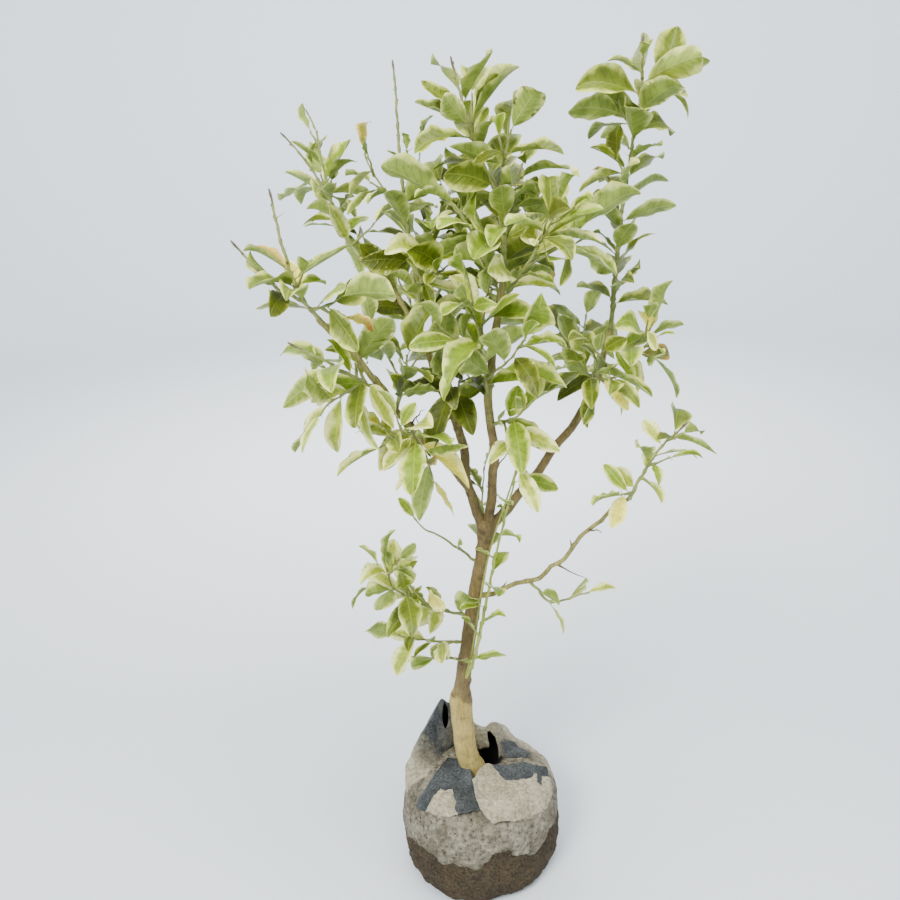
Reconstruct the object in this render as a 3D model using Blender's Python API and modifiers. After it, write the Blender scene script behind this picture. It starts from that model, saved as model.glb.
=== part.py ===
"""A young grafted lemon tree standing on its root ball, which is wrapped in a cut plastic sack.

Metres, +Z up. The origin is the centre of the flat underside of the root ball, +X is to the
right and -Y is the front. Every limb, every mass of foliage and every flap of the sack is an
object of its own. Touching pieces keep a gap of 0.3 mm.
"""
import math
import random

import bmesh
import bpy
from mathutils import Vector
from mathutils.bvhtree import BVHTree

OBJECT_NAME = "sapling_with_root_ball"
GAP = 0.0003
UP = Vector((0.0, 0.0, 1.0))

# Root ball: a full sack, lumpy at the sides and flat underneath
BALL_PROFILE = [
    (0.000, 0.190), (0.050, 0.190), (0.098, 0.186), (0.128, 0.171), (0.146, 0.140),
    (0.152, 0.095), (0.151, 0.050), (0.146, 0.017), (0.131, 0.000), (0.000, 0.000),
]
BALL_STEPS = 28
BALL_LUMPS = [(2, 0.018, 0.6), (3, 0.014, 2.1), (5, 0.008, 4.0)]
BALL_SEAT_RADIUS = 0.052

# Sack: its back wall still stands round the trunk, as azimuth, radius and height of the rim
SACK_THICKNESS = 0.0020
SACK_LIFT = 0.0012
SACK_RIM = [
    (6, 0.138, 0.186), (30, 0.078, 0.202), (48, 0.062, 0.222), (64, 0.066, 0.251),
    (82, 0.064, 0.226), (104, 0.084, 0.243), (124, 0.106, 0.284), (133, 0.108, 0.299),
    (146, 0.114, 0.262), (166, 0.128, 0.214), (186, 0.139, 0.184),
]
SACK_WALL_STEPS = 24
SACK_WALL_ROWS = 4
SACK_FOOT_HEIGHT = 0.150
SACK_BULGE = 0.010
SACK_BULGE_RISE = 0.4
BEYOND_BALL = 0.5

# Flaps of the sack folded down over the front shoulder, as outlines seen from above
FLAPS = {
    "sack_flap_left": [
        (-0.122, -0.060), (-0.090, -0.026), (-0.060, 0.006), (-0.044, -0.020),
        (-0.022, -0.044), (-0.011, -0.076), (-0.006, -0.104), (-0.040, -0.107), (-0.086, -0.092),
    ],
    "sack_flap_right": [
        (-0.004, -0.046), (0.016, -0.018), (0.070, -0.004), (0.133, -0.002),
        (0.125, -0.036), (0.076, -0.082), (0.041, -0.111), (0.013, -0.118), (-0.002, -0.102),
    ],
}
FLAP_CREST = 0.024
FLAP_CREST_START = 0.032
FLAP_CREST_REACH = 0.034
FLAP_GRID = 0.022
FLAP_LIFT = 0.0036
FLAP_WELD = 0.0015

# Trunk: the way points of its axis, and what makes up its radius
TRUNK_FOOT = 0.190 + GAP
TRUNK_TOP = 0.742
TRUNK_WAY = [
    (-0.012, 0.000, TRUNK_FOOT), (-0.012, 0.000, 0.197), (-0.026, 0.000, 0.240),
    (-0.034, 0.004, 0.350), (-0.029, 0.004, 0.410), (-0.011, 0.000, 0.550),
    (0.008, 0.000, 0.670), (0.019, 0.000, TRUNK_TOP),
]
ROOTSTOCK_RADIUS = 0.0206
SCION_RADIUS = 0.0146
SCION_TOP_RADIUS = 0.0112
GRAFT_HEIGHT = 0.376
GRAFT_BLEND = 0.012
GRAFT_SWELLING = (0.0014, 0.360, 0.016)
FORK_SWELLING = (0.0052, 0.730, 0.020)
ROOT_FLARE = 0.0140
ROOT_FLARE_HEIGHT = 0.014
TRUNK_SIDES = 10
TRUNK_STEP = 0.026

# Boughs: host, way points from inside the host to the tip, and the radius at each end
BOUGHS = {
    "left_bough": ("trunk", [
        (0.016, 0.000, 0.722), (-0.014, 0.008, 0.800), (-0.022, 0.028, 0.876),
        (-0.046, 0.040, 0.944), (-0.088, 0.056, 1.060)], 0.0092, 0.0062),
    "centre_leader": ("trunk", [
        (0.019, 0.000, 0.720), (0.030, -0.008, 0.860), (0.020, -0.020, 0.962),
        (0.031, -0.030, 1.072), (0.042, -0.030, 1.150)], 0.0088, 0.0054),
    "right_bough": ("trunk", [
        (0.018, 0.000, 0.724), (0.066, 0.010, 0.772), (0.124, 0.030, 0.842),
        (0.193, 0.050, 0.938), (0.228, 0.070, 1.050)], 0.0088, 0.0052),
    "left_low_arm": ("left_bough", [
        (-0.013, 0.009, 0.800), (-0.051, -0.012, 0.856), (-0.112, -0.050, 0.942),
        (-0.147, -0.076, 1.008), (-0.190, -0.100, 1.078), (-0.222, -0.114, 1.118)],
        0.0066, 0.0040),
    "left_high_arm": ("left_bough", [
        (-0.083, 0.054, 1.044), (-0.122, 0.075, 1.112), (-0.152, 0.092, 1.143),
        (-0.184, 0.110, 1.172)], 0.0046, 0.0036),
    "low_right_branch": ("trunk", [
        (0.002, 0.000, 0.590), (0.046, -0.020, 0.617), (0.117, -0.042, 0.662),
        (0.183, -0.068, 0.758), (0.240, -0.082, 0.814)], 0.0044, 0.0032),
}
BOUGH_SIDES = 8
BOUGH_STEP = 0.034

# Leaves and twigs
LEAF_LENGTH = 0.094
LEAF_WIDTH_SHARE = 0.46
LEAF_THICKNESS_SHARE = 0.020
LEAF_SECTIONS = [(0.36, 1.0), (0.70, 0.80)]
LEAF_FOLD = 0.22
LEAF_MARGIN = 0.0012
LEAF_TURN = math.radians(144)
LEAF_TRIES = [0, 28, -28, 58, -58, 92, -92, 130]
LEAF_START = 0.08
LEAF_TURN_SPREAD = 0.35
LEAF_LEAN = (36, 74)
LEAF_LEAN_AT_TIP = (4, 24)
LEAF_LENGTH_SPREAD = (0.72, 1.14)
LEAF_DROOP = (0.02, 0.40)
LEAF_TILT = 0.75
LEAF_FACE_UP = 0.35
LEAF_FACE_AHEAD = 0.55
CROWN_LOW = (-0.352, -0.262, 0.400)
CROWN_HIGH = (0.352, 0.285, 1.500)
SHOOT_RADIUS = 0.0025
TWIG_RADIUS = 0.0017
TIP_RADIUS = 0.0011
TWIG_SIDES = 3
SHOOT_STEP = 0.050
SIDE_TWIG_LENGTH = 0.062
SIDE_TWIG_LENGTH_SPREAD = (0.8, 1.2)
SIDE_TWIG_LEAN = (38, 55)
SIDE_TWIG_RISE = 0.15
SIDE_TWIG_PLACES = (0.30, 0.80)
SIDE_TWIG_LEAVES = 3

# Foliage: host and the share along it where the stem starts, then the shoots of the mass as
# parent shoot, share along the parent, way points, leaves, side twigs and bare share of the tip
FOLIAGE = {
    "whip_foliage": ("left_bough", 1.0, 1.0, [
        (None, 0.0, [(-0.090, 0.062, 1.140), (-0.100, 0.068, 1.225), (-0.106, 0.072, 1.310),
                     (-0.111, 0.080, 1.455)], 11, 1, 0.44, 62),
        (0, 0.46, [(-0.150, 0.066, 1.300), (-0.160, 0.070, 1.330)], 2, 0, 0.0, 58),
        (0, 0.20, [(-0.070, 0.030, 1.140), (-0.060, 0.004, 1.200)], 6, 1, 0.0, 48),
        (0, 0.30, [(-0.062, 0.080, 1.210), (-0.036, 0.084, 1.268)], 6, 0, 0.0, 92),
    ]),
    "high_arm_foliage": ("left_high_arm", 1.0, 0.92, [
        (None, 0.0, [(-0.210, 0.120, 1.212), (-0.233, 0.130, 1.275), (-0.266, 0.140, 1.326),
                     (-0.298, 0.142, 1.362)], 8, 1, 0.36, 38),
        (0, 0.36, [(-0.236, 0.128, 1.330), (-0.238, 0.128, 1.362)], 5, 0, 0.0, 37),
        (0, 0.10, [(-0.158, 0.136, 1.220)], 4, 0, 0.0, 71),
        (0, 0.14, [(-0.215, 0.180, 1.215), (-0.232, 0.206, 1.250)], 5, 0, 0.0, 20),
    ]),
    "low_arm_foliage": ("left_low_arm", 1.0, 0.95, [
        (None, 0.0, [(-0.248, -0.120, 1.158), (-0.260, -0.124, 1.224),
                     (-0.268, -0.126, 1.292)], 6, 0, 0.56, 3),
        (0, 0.16, [(-0.275, -0.130, 1.166), (-0.322, -0.142, 1.229)], 5, 0, 0.46, 14),
        (0, 0.10, [(-0.206, -0.122, 1.136), (-0.186, -0.128, 1.150)], 4, 0, 0.0, 74),
    ]),
    "left_mid_foliage": ("left_low_arm", 0.62, 0.95, [
        (None, 0.0, [(-0.186, -0.098, 1.030), (-0.232, -0.112, 1.066),
                     (-0.268, -0.104, 1.082)], 6, 1, 0.28, 43),
        (0, 0.22, [(-0.214, -0.130, 1.000), (-0.226, -0.150, 0.988)], 6, 0, 0.0, 101),
        (0, 0.30, [(-0.180, -0.058, 1.050), (-0.196, -0.030, 1.058)], 5, 0, 0.0, 10),
    ]),
    "left_front_foliage": ("left_low_arm", 0.40, 0.92, [
        (None, 0.0, [(-0.098, -0.086, 0.934), (-0.092, -0.128, 0.934)], 6, 1, 0.0, 2),
        (0, 0.30, [(-0.128, -0.112, 0.932), (-0.146, -0.120, 0.924)], 4, 0, 0.0, 24),
        (0, 0.45, [(-0.076, -0.120, 0.902), (-0.070, -0.126, 0.874)], 4, 0, 0.0, 33),
    ]),
    "left_inner_foliage": ("left_bough", 0.56, 0.92, [
        (None, 0.0, [(-0.024, 0.010, 0.990), (-0.018, -0.014, 1.016)], 5, 0, 0.0, 53),
        (0, 0.40, [(-0.040, -0.030, 0.986), (-0.058, -0.056, 0.990)], 5, 0, 0.0, 50),
    ]),
    "left_upper_foliage": ("left_low_arm", 0.52, 0.92, [
        (None, 0.0, [(-0.110, -0.046, 1.000), (-0.104, -0.030, 1.040)], 6, 0, 0.0, 104),
        (0, 0.45, [(-0.140, -0.020, 1.046), (-0.160, -0.002, 1.080)], 5, 0, 0.0, 51),
    ]),
    "left_back_foliage": ("left_bough", 0.70, 1.0, [
        (None, 0.0, [(-0.080, 0.100, 1.030), (-0.104, 0.150, 1.080),
                     (-0.112, 0.178, 1.150)], 9, 2, 0.0, 15),
        (0, 0.35, [(-0.050, 0.150, 1.060), (-0.036, 0.190, 1.082)], 5, 1, 0.0, 54),
    ]),
    "leader_top_foliage": ("centre_leader", 1.0, 1.05, [
        (None, 0.0, [(0.045, -0.030, 1.256), (0.018, -0.024, 1.300), (-0.002, -0.020, 1.356),
                     (-0.028, -0.020, 1.448)], 17, 2, 0.12, 106),
        (0, 0.40, [(0.046, -0.040, 1.330), (0.052, -0.044, 1.356)], 6, 0, 0.0, 8),
        (0, 0.16, [(-0.002, -0.050, 1.220), (-0.028, -0.058, 1.262)], 6, 1, 0.0, 96),
        (0, 0.24, [(0.064, 0.010, 1.262), (0.076, 0.036, 1.310)], 6, 1, 0.0, 63),
    ]),
    "leader_right_foliage": ("centre_leader", 0.92, 1.0, [
        (None, 0.0, [(0.082, -0.058, 1.186), (0.104, -0.072, 1.230), (0.116, -0.080, 1.264)],
         8, 1, 0.0, 61),
        (0, 0.40, [(0.128, -0.070, 1.206), (0.146, -0.078, 1.230)], 5, 0, 0.0, 53),
    ]),
    "leader_front_foliage": ("centre_leader", 0.56, 1.0, [
        (None, 0.0, [(0.012, -0.054, 1.020), (0.002, -0.078, 1.090), (-0.010, -0.090, 1.160)],
         9, 1, 0.0, 78),
        (0, 0.22, [(0.048, -0.076, 1.040), (0.072, -0.090, 1.078)], 6, 0, 0.0, 49),
        (0, 0.40, [(-0.030, -0.084, 1.076), (-0.052, -0.096, 1.096)], 4, 0, 0.0, 64),
    ]),
    "leader_back_foliage": ("centre_leader", 0.80, 1.0, [
        (None, 0.0, [(0.040, 0.040, 1.120), (0.030, 0.100, 1.160), (0.012, 0.140, 1.220)],
         9, 2, 0.0, 3),
        (0, 0.45, [(0.070, 0.110, 1.170), (0.090, 0.140, 1.190)], 5, 1, 0.0, 106),
    ]),
    "leader_low_foliage": ("centre_leader", 0.46, 0.85, [
        (None, 0.0, [(0.060, -0.052, 0.940), (0.086, -0.062, 0.972)], 7, 0, 0.0, 104),
        (0, 0.30, [(0.052, -0.070, 0.900), (0.062, -0.092, 0.872)], 4, 0, 0.0, 37),
    ]),
    "right_top_foliage": ("right_bough", 1.0, 1.08, [
        (None, 0.0, [(0.230, 0.071, 1.150), (0.236, 0.072, 1.245), (0.242, 0.062, 1.322),
                     (0.250, 0.052, 1.404), (0.247, 0.050, 1.474)], 27, 0, 0.10, 101),
        (0, 0.72, [(0.224, 0.050, 1.370), (0.214, 0.040, 1.392)], 5, 0, 0.0, 14),
        (0, 0.80, [(0.262, 0.050, 1.396), (0.272, 0.048, 1.412)], 3, 0, 0.0, 102),
    ]),
    "right_mid_foliage": ("right_bough", 0.92, 0.92, [
        (None, 0.0, [(0.252, 0.044, 1.020), (0.276, 0.024, 1.052), (0.284, 0.020, 1.072)],
         7, 1, 0.0, 45),
        (0, 0.30, [(0.290, 0.030, 1.010), (0.308, 0.022, 1.010)], 5, 0, 0.0, 8),
    ]),
    "right_inner_foliage": ("right_bough", 0.80, 0.92, [
        (None, 0.0, [(0.186, 0.012, 0.986), (0.160, -0.012, 1.016)], 7, 1, 0.0, 16),
        (0, 0.40, [(0.204, -0.018, 0.990), (0.226, -0.036, 1.000)], 6, 0, 0.0, 64),
    ]),
    "right_back_foliage": ("right_bough", 0.74, 0.95, [
        (None, 0.0, [(0.190, 0.110, 0.980), (0.196, 0.160, 1.010), (0.206, 0.188, 1.050)],
         9, 2, 0.0, 24),
    ]),
    "low_right_foliage": ("low_right_branch", 1.0, 0.82, [
        (None, 0.0, [(0.262, -0.090, 0.876), (0.288, -0.098, 0.920), (0.312, -0.100, 0.944)],
         8, 1, 0.10, 24),
        (0, 0.08, [(0.222, -0.096, 0.826)], 3, 0, 0.0, 103),
    ]),
    "low_right_spur_foliage": ("low_right_branch", 0.30, 0.72, [
        (None, 0.0, [(0.122, -0.050, 0.602), (0.148, -0.054, 0.612), (0.186, -0.060, 0.630)],
         4, 0, 0.0, 20),
    ]),
    "low_left_foliage": ("trunk", 0.645, 0.90, [
        (None, 0.0, [(-0.104, -0.040, 0.602), (-0.146, -0.066, 0.652), (-0.156, -0.078, 0.716)],
         11, 1, 0.0, 106),
        (0, 0.46, [(-0.150, -0.020, 0.640), (-0.172, -0.010, 0.664)], 5, 0, 0.0, 13),
        (0, 0.34, [(-0.104, -0.074, 0.640), (-0.112, -0.090, 0.668)], 4, 0, 0.0, 38),
    ]),
    "low_left_under_foliage": ("trunk", 0.545, 0.86, [
        (None, 0.0, [(-0.080, -0.026, 0.514), (-0.124, -0.050, 0.540), (-0.142, -0.058, 0.552)],
         5, 0, 0.0, 85),
    ]),
    "trunk_low_twig": ("trunk", 0.475, 0.74, [
        (None, 0.0, [(-0.072, -0.020, 0.474), (-0.104, -0.036, 0.484), (-0.126, -0.044, 0.500)],
         3, 0, 0.0, 78),
    ]),
    "trunk_back_foliage": ("trunk", 0.80, 0.80, [
        (None, 0.0, [(0.006, 0.060, 0.690), (0.014, 0.110, 0.730), (0.020, 0.140, 0.780)],
         6, 0, 0.0, 2),
    ]),
    "trunk_left_twig": ("trunk", 0.84, 0.60, [
        (None, 0.0, [(-0.050, -0.020, 0.712), (-0.092, -0.030, 0.744), (-0.106, -0.032, 0.766)],
         2, 0, 0.0, 19),
    ]),
    "green_sucker": ("trunk", 0.375, 0.70, [
        (None, 0.0, [(-0.007, -0.030, 0.484), (0.011, -0.034, 0.583), (0.031, -0.034, 0.700),
                     (0.052, -0.040, 0.790), (0.068, -0.046, 0.870)], 13, 0, 0.0, 89),
    ]),
}

MATERIALS = {
    "bark_brown": ((0.235, 0.140, 0.075), 0.85),
    "leaf_green": ((0.300, 0.400, 0.110), 0.50),
    "dried_mud": ((0.440, 0.385, 0.300), 0.95),
    "sack_film": ((0.045, 0.052, 0.062), 0.55),
}


def clear_scene():
    """Remove whatever the file was opened with."""
    for item in list(bpy.data.objects):
        bpy.data.objects.remove(item, do_unlink=True)


def make_material(name):
    """A plain Principled material of the given colour and roughness."""
    colour, roughness = MATERIALS[name]
    material = bpy.data.materials.new(name)
    material.use_nodes = True
    shader = material.node_tree.nodes["Principled BSDF"]
    shader.inputs["Base Color"].default_value = (*colour, 1.0)
    shader.inputs["Roughness"].default_value = roughness
    shader.inputs["Metallic"].default_value = 0.0
    return material


def curve_through(way, step):
    """Points about one step apart on a smooth curve through the way points."""
    way = [Vector(point) for point in way]
    line = [2 * way[0] - way[1]] + way + [2 * way[-1] - way[-2]]
    points = [way[0]]
    for before, start, stop, after in zip(line, line[1:], line[2:], line[3:]):
        spans = max(1, round((stop - start).length / step))
        for index in range(1, spans + 1):
            t = index / spans
            linear = (stop - before) * t
            square = (2 * before - 5 * start + 4 * stop - after) * t ** 2
            cube = (3 * start - before - 3 * stop + after) * t ** 3
            points.append(start + 0.5 * (linear + square + cube))
    return points


class Stem:
    """The axis of a trunk, bough or shoot, with its radius at each point."""

    def __init__(self, way, step, radius_at):
        self.points = curve_through(way, step)
        lengths = [(b - a).length for a, b in zip(self.points, self.points[1:])]
        total = sum(lengths)
        self.length = total
        self.shares = [sum(lengths[:index]) / total for index in range(len(self.points))]
        self.radii = [radius_at(share, point) for share, point in zip(self.shares, self.points)]

    def at(self, share):
        """Point, direction and radius at a share of the length."""
        index = 0
        while index < len(self.points) - 2 and self.shares[index + 1] < share:
            index += 1
        start, stop = self.points[index], self.points[index + 1]
        span = self.shares[index + 1] - self.shares[index]
        t = (share - self.shares[index]) / span
        radius = self.radii[index] + (self.radii[index + 1] - self.radii[index]) * t
        return start.lerp(stop, t), (stop - start).normalized(), radius


def taper(start, end):
    """Radius that runs evenly from the start to the end of a stem."""
    return lambda share, point: start + (end - start) * share


def bell(z, swelling):
    """Height of a rounded swelling at height z."""
    size, middle, spread = swelling
    return size * math.exp(-((z - middle) / spread) ** 2)


def trunk_radius(share, point):
    """Rootstock below the graft, slimmer scion above it, with the flare and the swellings."""
    z = point.z
    above = 1 / (1 + math.exp(-(z - GRAFT_HEIGHT) / (GRAFT_BLEND / 2)))
    rise = (z - GRAFT_HEIGHT) / (TRUNK_TOP - GRAFT_HEIGHT)
    scion = SCION_RADIUS + (SCION_TOP_RADIUS - SCION_RADIUS) * max(0.0, rise)
    flare = ROOT_FLARE * math.exp(-(z - TRUNK_FOOT) / ROOT_FLARE_HEIGHT)
    base = ROOTSTOCK_RADIUS * (1 - above) + scion * above
    return base + flare + bell(z, GRAFT_SWELLING) + bell(z, FORK_SWELLING)


def sweep(stem, sides, grow=0.0):
    """Vertices and faces of a closed tube round a stem, made larger by grow."""
    points = list(stem.points)
    directions = [(b - a).normalized() for a, b in zip(points, points[1:])]
    tangents = [directions[0]]
    tangents += [(a + b).normalized() for a, b in zip(directions, directions[1:])]
    tangents.append(directions[-1])
    points[0] = points[0] - tangents[0] * grow
    points[-1] = points[-1] + tangents[-1] * grow
    side = tangents[0].orthogonal().normalized()
    verts, faces = [], []
    for point, tangent, radius in zip(points, tangents, stem.radii):
        side = (side - tangent * side.dot(tangent)).normalized()
        other = tangent.cross(side)
        for index in range(sides):
            turn = 2 * math.pi * index / sides
            reach = (radius + grow) * (side * math.cos(turn) + other * math.sin(turn))
            verts.append(point + reach)
    for ring in range(len(points) - 1):
        low = ring * sides
        for index in range(sides):
            nxt = (index + 1) % sides
            faces.append((low + index, low + nxt, low + sides + nxt))
            faces.append((low + index, low + sides + nxt, low + sides + index))
    faces.append(tuple(reversed(range(sides))))
    last = (len(points) - 1) * sides
    faces.append(tuple(range(last, last + sides)))
    return verts, faces


def leaf(root, heading, face, length, droop, grow=0.0):
    """Vertices and faces of one leaf: a root sunk in its twig, a folded blade and a tip.

    The blade is widest at two fifths, its rim is raised on both sides of the midrib and
    its tip sinks by the droop.
    """
    width = LEAF_WIDTH_SHARE * length + 2 * grow
    thickness = LEAF_THICKNESS_SHARE * length + 2 * grow
    across = heading.cross(face).normalized()
    verts = [root - heading * grow]
    for share, wide in LEAF_SECTIONS:
        middle = root + heading * (length * share) - UP * (droop * length * share ** 2)
        along = (heading - UP * (2 * droop * share)).normalized()
        normal = across.cross(along).normalized()
        half = 0.5 * width * wide
        rim = normal * (LEAF_FOLD * half + 0.5 * thickness)
        verts.append(middle - normal * (0.5 * thickness))
        verts.append(middle - across * half + rim)
        verts.append(middle + across * half + rim)
    verts.append(root + heading * (length + grow) - UP * (droop * length))
    faces = [(0, 2, 3), (0, 1, 2), (0, 3, 1)]
    faces += [(1, 4, 2), (2, 4, 5), (2, 5, 3), (3, 5, 6), (3, 6, 1), (1, 6, 4)]
    faces += [(4, 7, 5), (5, 7, 6), (6, 7, 4)]
    return verts, faces


class Space:
    """The solids placed so far, kept so that new ones can stay clear of them."""

    def __init__(self):
        self.kept = []

    def keep(self, shape, owner):
        """Remember a shape and whose it is."""
        verts, faces = shape
        low = Vector([min(v[axis] for v in verts) for axis in range(3)])
        high = Vector([max(v[axis] for v in verts) for axis in range(3)])
        self.kept.append((low, high, BVHTree.FromPolygons(verts, faces), owner))

    def free(self, shape, ignored):
        """Whether a shape is in the crown's space and crosses none but the ignored owners."""
        verts, faces = shape
        low = [min(v[axis] for v in verts) for axis in range(3)]
        high = [max(v[axis] for v in verts) for axis in range(3)]
        if any(low[a] < CROWN_LOW[a] or high[a] > CROWN_HIGH[a] for a in range(3)):
            return False
        tree = None
        for kept_low, kept_high, kept_tree, owner in self.kept:
            if owner in ignored:
                continue
            if any(high[a] < kept_low[a] or low[a] > kept_high[a] for a in range(3)):
                continue
            tree = tree or BVHTree.FromPolygons(verts, faces)
            if tree.overlap(kept_tree):
                return False
        return True


def side_direction(axis, turn):
    """A direction square to the axis, turned round it from the level one."""
    level = UP.cross(axis)
    if level.length < 0.1:
        level = Vector((1.0, 0.0, 0.0))
    level = (level - axis * level.dot(axis)).normalized()
    return level * math.cos(turn) + axis.cross(level) * math.sin(turn)


def grow_leaves(shoot, owner, count, bare, size, rng, space):
    """Leaves set round a shoot by two fifths of a turn, turned aside from what they meet.

    The last leaf of a shoot that isn't bare points along it, and a leaf that finds no free
    place is skipped.
    """
    placed = []
    turn = rng.uniform(0, 2 * math.pi)
    for index in range(count):
        turn += LEAF_TURN + rng.uniform(-LEAF_TURN_SPREAD, LEAF_TURN_SPREAD)
        at_tip = index == count - 1 and bare == 0
        step = 0.97 if at_tip else (index + rng.uniform(0.35, 0.85)) / count
        lean = math.radians(rng.uniform(*(LEAF_LEAN_AT_TIP if at_tip else LEAF_LEAN)))
        length = LEAF_LENGTH * size * rng.uniform(*LEAF_LENGTH_SPREAD)
        droop = rng.uniform(*LEAF_DROOP)
        tilt = Vector([rng.uniform(-LEAF_TILT, LEAF_TILT) for _ in range(3)])
        point, axis, radius = shoot.at(LEAF_START + (1 - LEAF_START - bare) * step)
        for aside in LEAF_TRIES:
            out = side_direction(axis, turn + math.radians(aside))
            heading = (axis * math.cos(lean) + out * math.sin(lean)).normalized()
            face = UP * LEAF_FACE_UP + axis * LEAF_FACE_AHEAD + tilt
            face = (face - heading * face.dot(heading)).normalized()
            root = point - heading * (0.5 * radius)
            shape = leaf(root, heading, face, length, droop)
            grown = leaf(root, heading, face, length, droop, LEAF_MARGIN)
            if space.free(grown, {owner}):
                space.keep(shape, (owner, "leaf", len(space.kept)))
                placed.append(shape)
                break
    return placed


def lay_shoots(name, stems, space):
    """The main shoots of one mass, each on its host limb or on another shoot of the mass."""
    host_name, host_share, size, rows = FOLIAGE[name]
    shoots = []
    for number, (parent, share, way, *growth) in enumerate(rows):
        source = stems[host_name] if parent is None else shoots[parent]
        start, axis, radius = source.at(host_share if parent is None else share)
        if parent is None and host_share == 1.0:
            start = start - axis * radius
        thick = SHOOT_RADIUS if parent is None else TWIG_RADIUS
        shoot = Stem([start] + way, SHOOT_STEP, taper(thick, TIP_RADIUS))
        shoots.append(shoot)
        space.keep(sweep(shoot, TWIG_SIDES), f"{name} {number}")
    return shoots


def grow_twig(shoot, owner, place, rng, space):
    """One side twig on a shoot, turned aside from what it meets, or nothing."""
    turn = rng.uniform(0, 2 * math.pi)
    reach = SIDE_TWIG_LENGTH * rng.uniform(*SIDE_TWIG_LENGTH_SPREAD)
    lean = math.radians(rng.uniform(*SIDE_TWIG_LEAN))
    start, axis, radius = shoot.at(place)
    for aside in LEAF_TRIES:
        out = side_direction(axis, turn + math.radians(aside))
        heading = axis * math.cos(lean) + out * math.sin(lean)
        middle = start + heading * (0.5 * reach)
        tip = start + heading * reach + UP * (SIDE_TWIG_RISE * reach)
        twig = Stem([start, middle, tip], SHOOT_STEP, taper(TWIG_RADIUS, TIP_RADIUS))
        if space.free(sweep(twig, TWIG_SIDES, LEAF_MARGIN), {owner}):
            return twig
    return None


def grow_shoot(shoot, owner, growth, size, space):
    """The side twigs and leaves of one main shoot, by the rule and its own seed."""
    count, side_twigs, bare, seed = growth
    rng = random.Random(seed)
    leaves = grow_leaves(shoot, owner, count, bare, size, rng, space)
    twigs = []
    first, last = SIDE_TWIG_PLACES
    for index in range(side_twigs):
        place = first + (last - first) * (index + rng.uniform(0.2, 0.8)) / side_twigs
        twig = grow_twig(shoot, owner, place, rng, space)
        if twig:
            twig_owner = f"{owner} twig {index}"
            shape = sweep(twig, TWIG_SIDES)
            space.keep(shape, twig_owner)
            twigs.append(shape)
            leaves += grow_leaves(twig, twig_owner, SIDE_TWIG_LEAVES, 0.0, size, rng, space)
    return twigs, leaves


def grow_foliage(name, shoots, space):
    """The twigs and leaves of one mass, all growing from its stem."""
    size, rows = FOLIAGE[name][2:]
    twigs = [sweep(shoot, TWIG_SIDES) for shoot in shoots]
    leaves = []
    for number, (shoot, row) in enumerate(zip(shoots, rows)):
        more_twigs, more_leaves = grow_shoot(shoot, f"{name} {number}", row[3:], size, space)
        twigs += more_twigs
        leaves += more_leaves
    return twigs, leaves


def add_solid(name, shape, collection):
    """A mesh object from vertices and faces, with its faces pointing out."""
    mesh = bpy.data.meshes.new(name)
    mesh.from_pydata([tuple(v) for v in shape[0]], [], [tuple(f) for f in shape[1]])
    shell = bmesh.new()
    shell.from_mesh(mesh)
    bmesh.ops.recalc_face_normals(shell, faces=shell.faces)
    shell.to_mesh(mesh)
    shell.free()
    item = bpy.data.objects.new(name, mesh)
    collection.objects.link(item)
    return item


def paint_with(item, material):
    """Give an object one material and no other."""
    item.data.materials.clear()
    item.data.materials.append(material)


def apply_modifiers(item):
    """Give an object the mesh that its modifiers make, and drop them."""
    bpy.context.view_layer.update()
    result = item.evaluated_get(bpy.context.evaluated_depsgraph_get())
    mesh = bpy.data.meshes.new_from_object(result)
    item.modifiers.clear()
    item.data = mesh


def triangulate(item):
    """Split every face into triangles, so that a face that isn't flat has one reading."""
    shell = bmesh.new()
    shell.from_mesh(item.data)
    bmesh.ops.triangulate(shell, faces=shell.faces)
    shell.to_mesh(item.data)
    shell.free()


def join(item, shapes):
    """Fuse an object with many shapes by one union."""
    group = bpy.data.collections.new("to_join")
    bpy.context.scene.collection.children.link(group)
    for number, shape in enumerate(shapes):
        add_solid(f"join_{number}", shape, group)
    union = item.modifiers.new("join", "BOOLEAN")
    union.operation = "UNION"
    union.operand_type = "COLLECTION"
    union.collection = group
    union.solver = "MANIFOLD"
    apply_modifiers(item)
    for extra in list(group.objects):
        bpy.data.objects.remove(extra, do_unlink=True)
    bpy.data.collections.remove(group)


def cut_by(item, shape, cutters):
    """Cut an object back from a neighbour, by that neighbour made one gap larger."""
    cutter = add_solid("cut_" + item.name, shape, cutters)
    cutter.hide_render = True
    cutter.display_type = "WIRE"
    trim = item.modifiers.new("seat", "BOOLEAN")
    trim.operation = "DIFFERENCE"
    trim.object = cutter
    trim.solver = "EXACT"
    apply_modifiers(item)


def grown(item):
    """An object's own shape, one gap larger all round."""
    verts = [vert.co + vert.normal * (1.1 * GAP) for vert in item.data.vertices]
    return verts, [tuple(face.vertices) for face in item.data.polygons]


def keep_largest(item):
    """Drop loose scraps, so that the object stays one body."""
    shell = bmesh.new()
    shell.from_mesh(item.data)
    left = set(shell.verts)
    bodies = []
    while left:
        seed = left.pop()
        body = {seed}
        edge = [seed]
        while edge:
            vert = edge.pop()
            for link in vert.link_edges:
                other = link.other_vert(vert)
                if other not in body:
                    body.add(other)
                    edge.append(other)
        left -= body
        bodies.append(body)
    bodies.sort(key=len)
    for body in bodies[:-1]:
        bmesh.ops.delete(shell, geom=list(body), context="VERTS")
    shell.to_mesh(item.data)
    shell.free()


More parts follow.
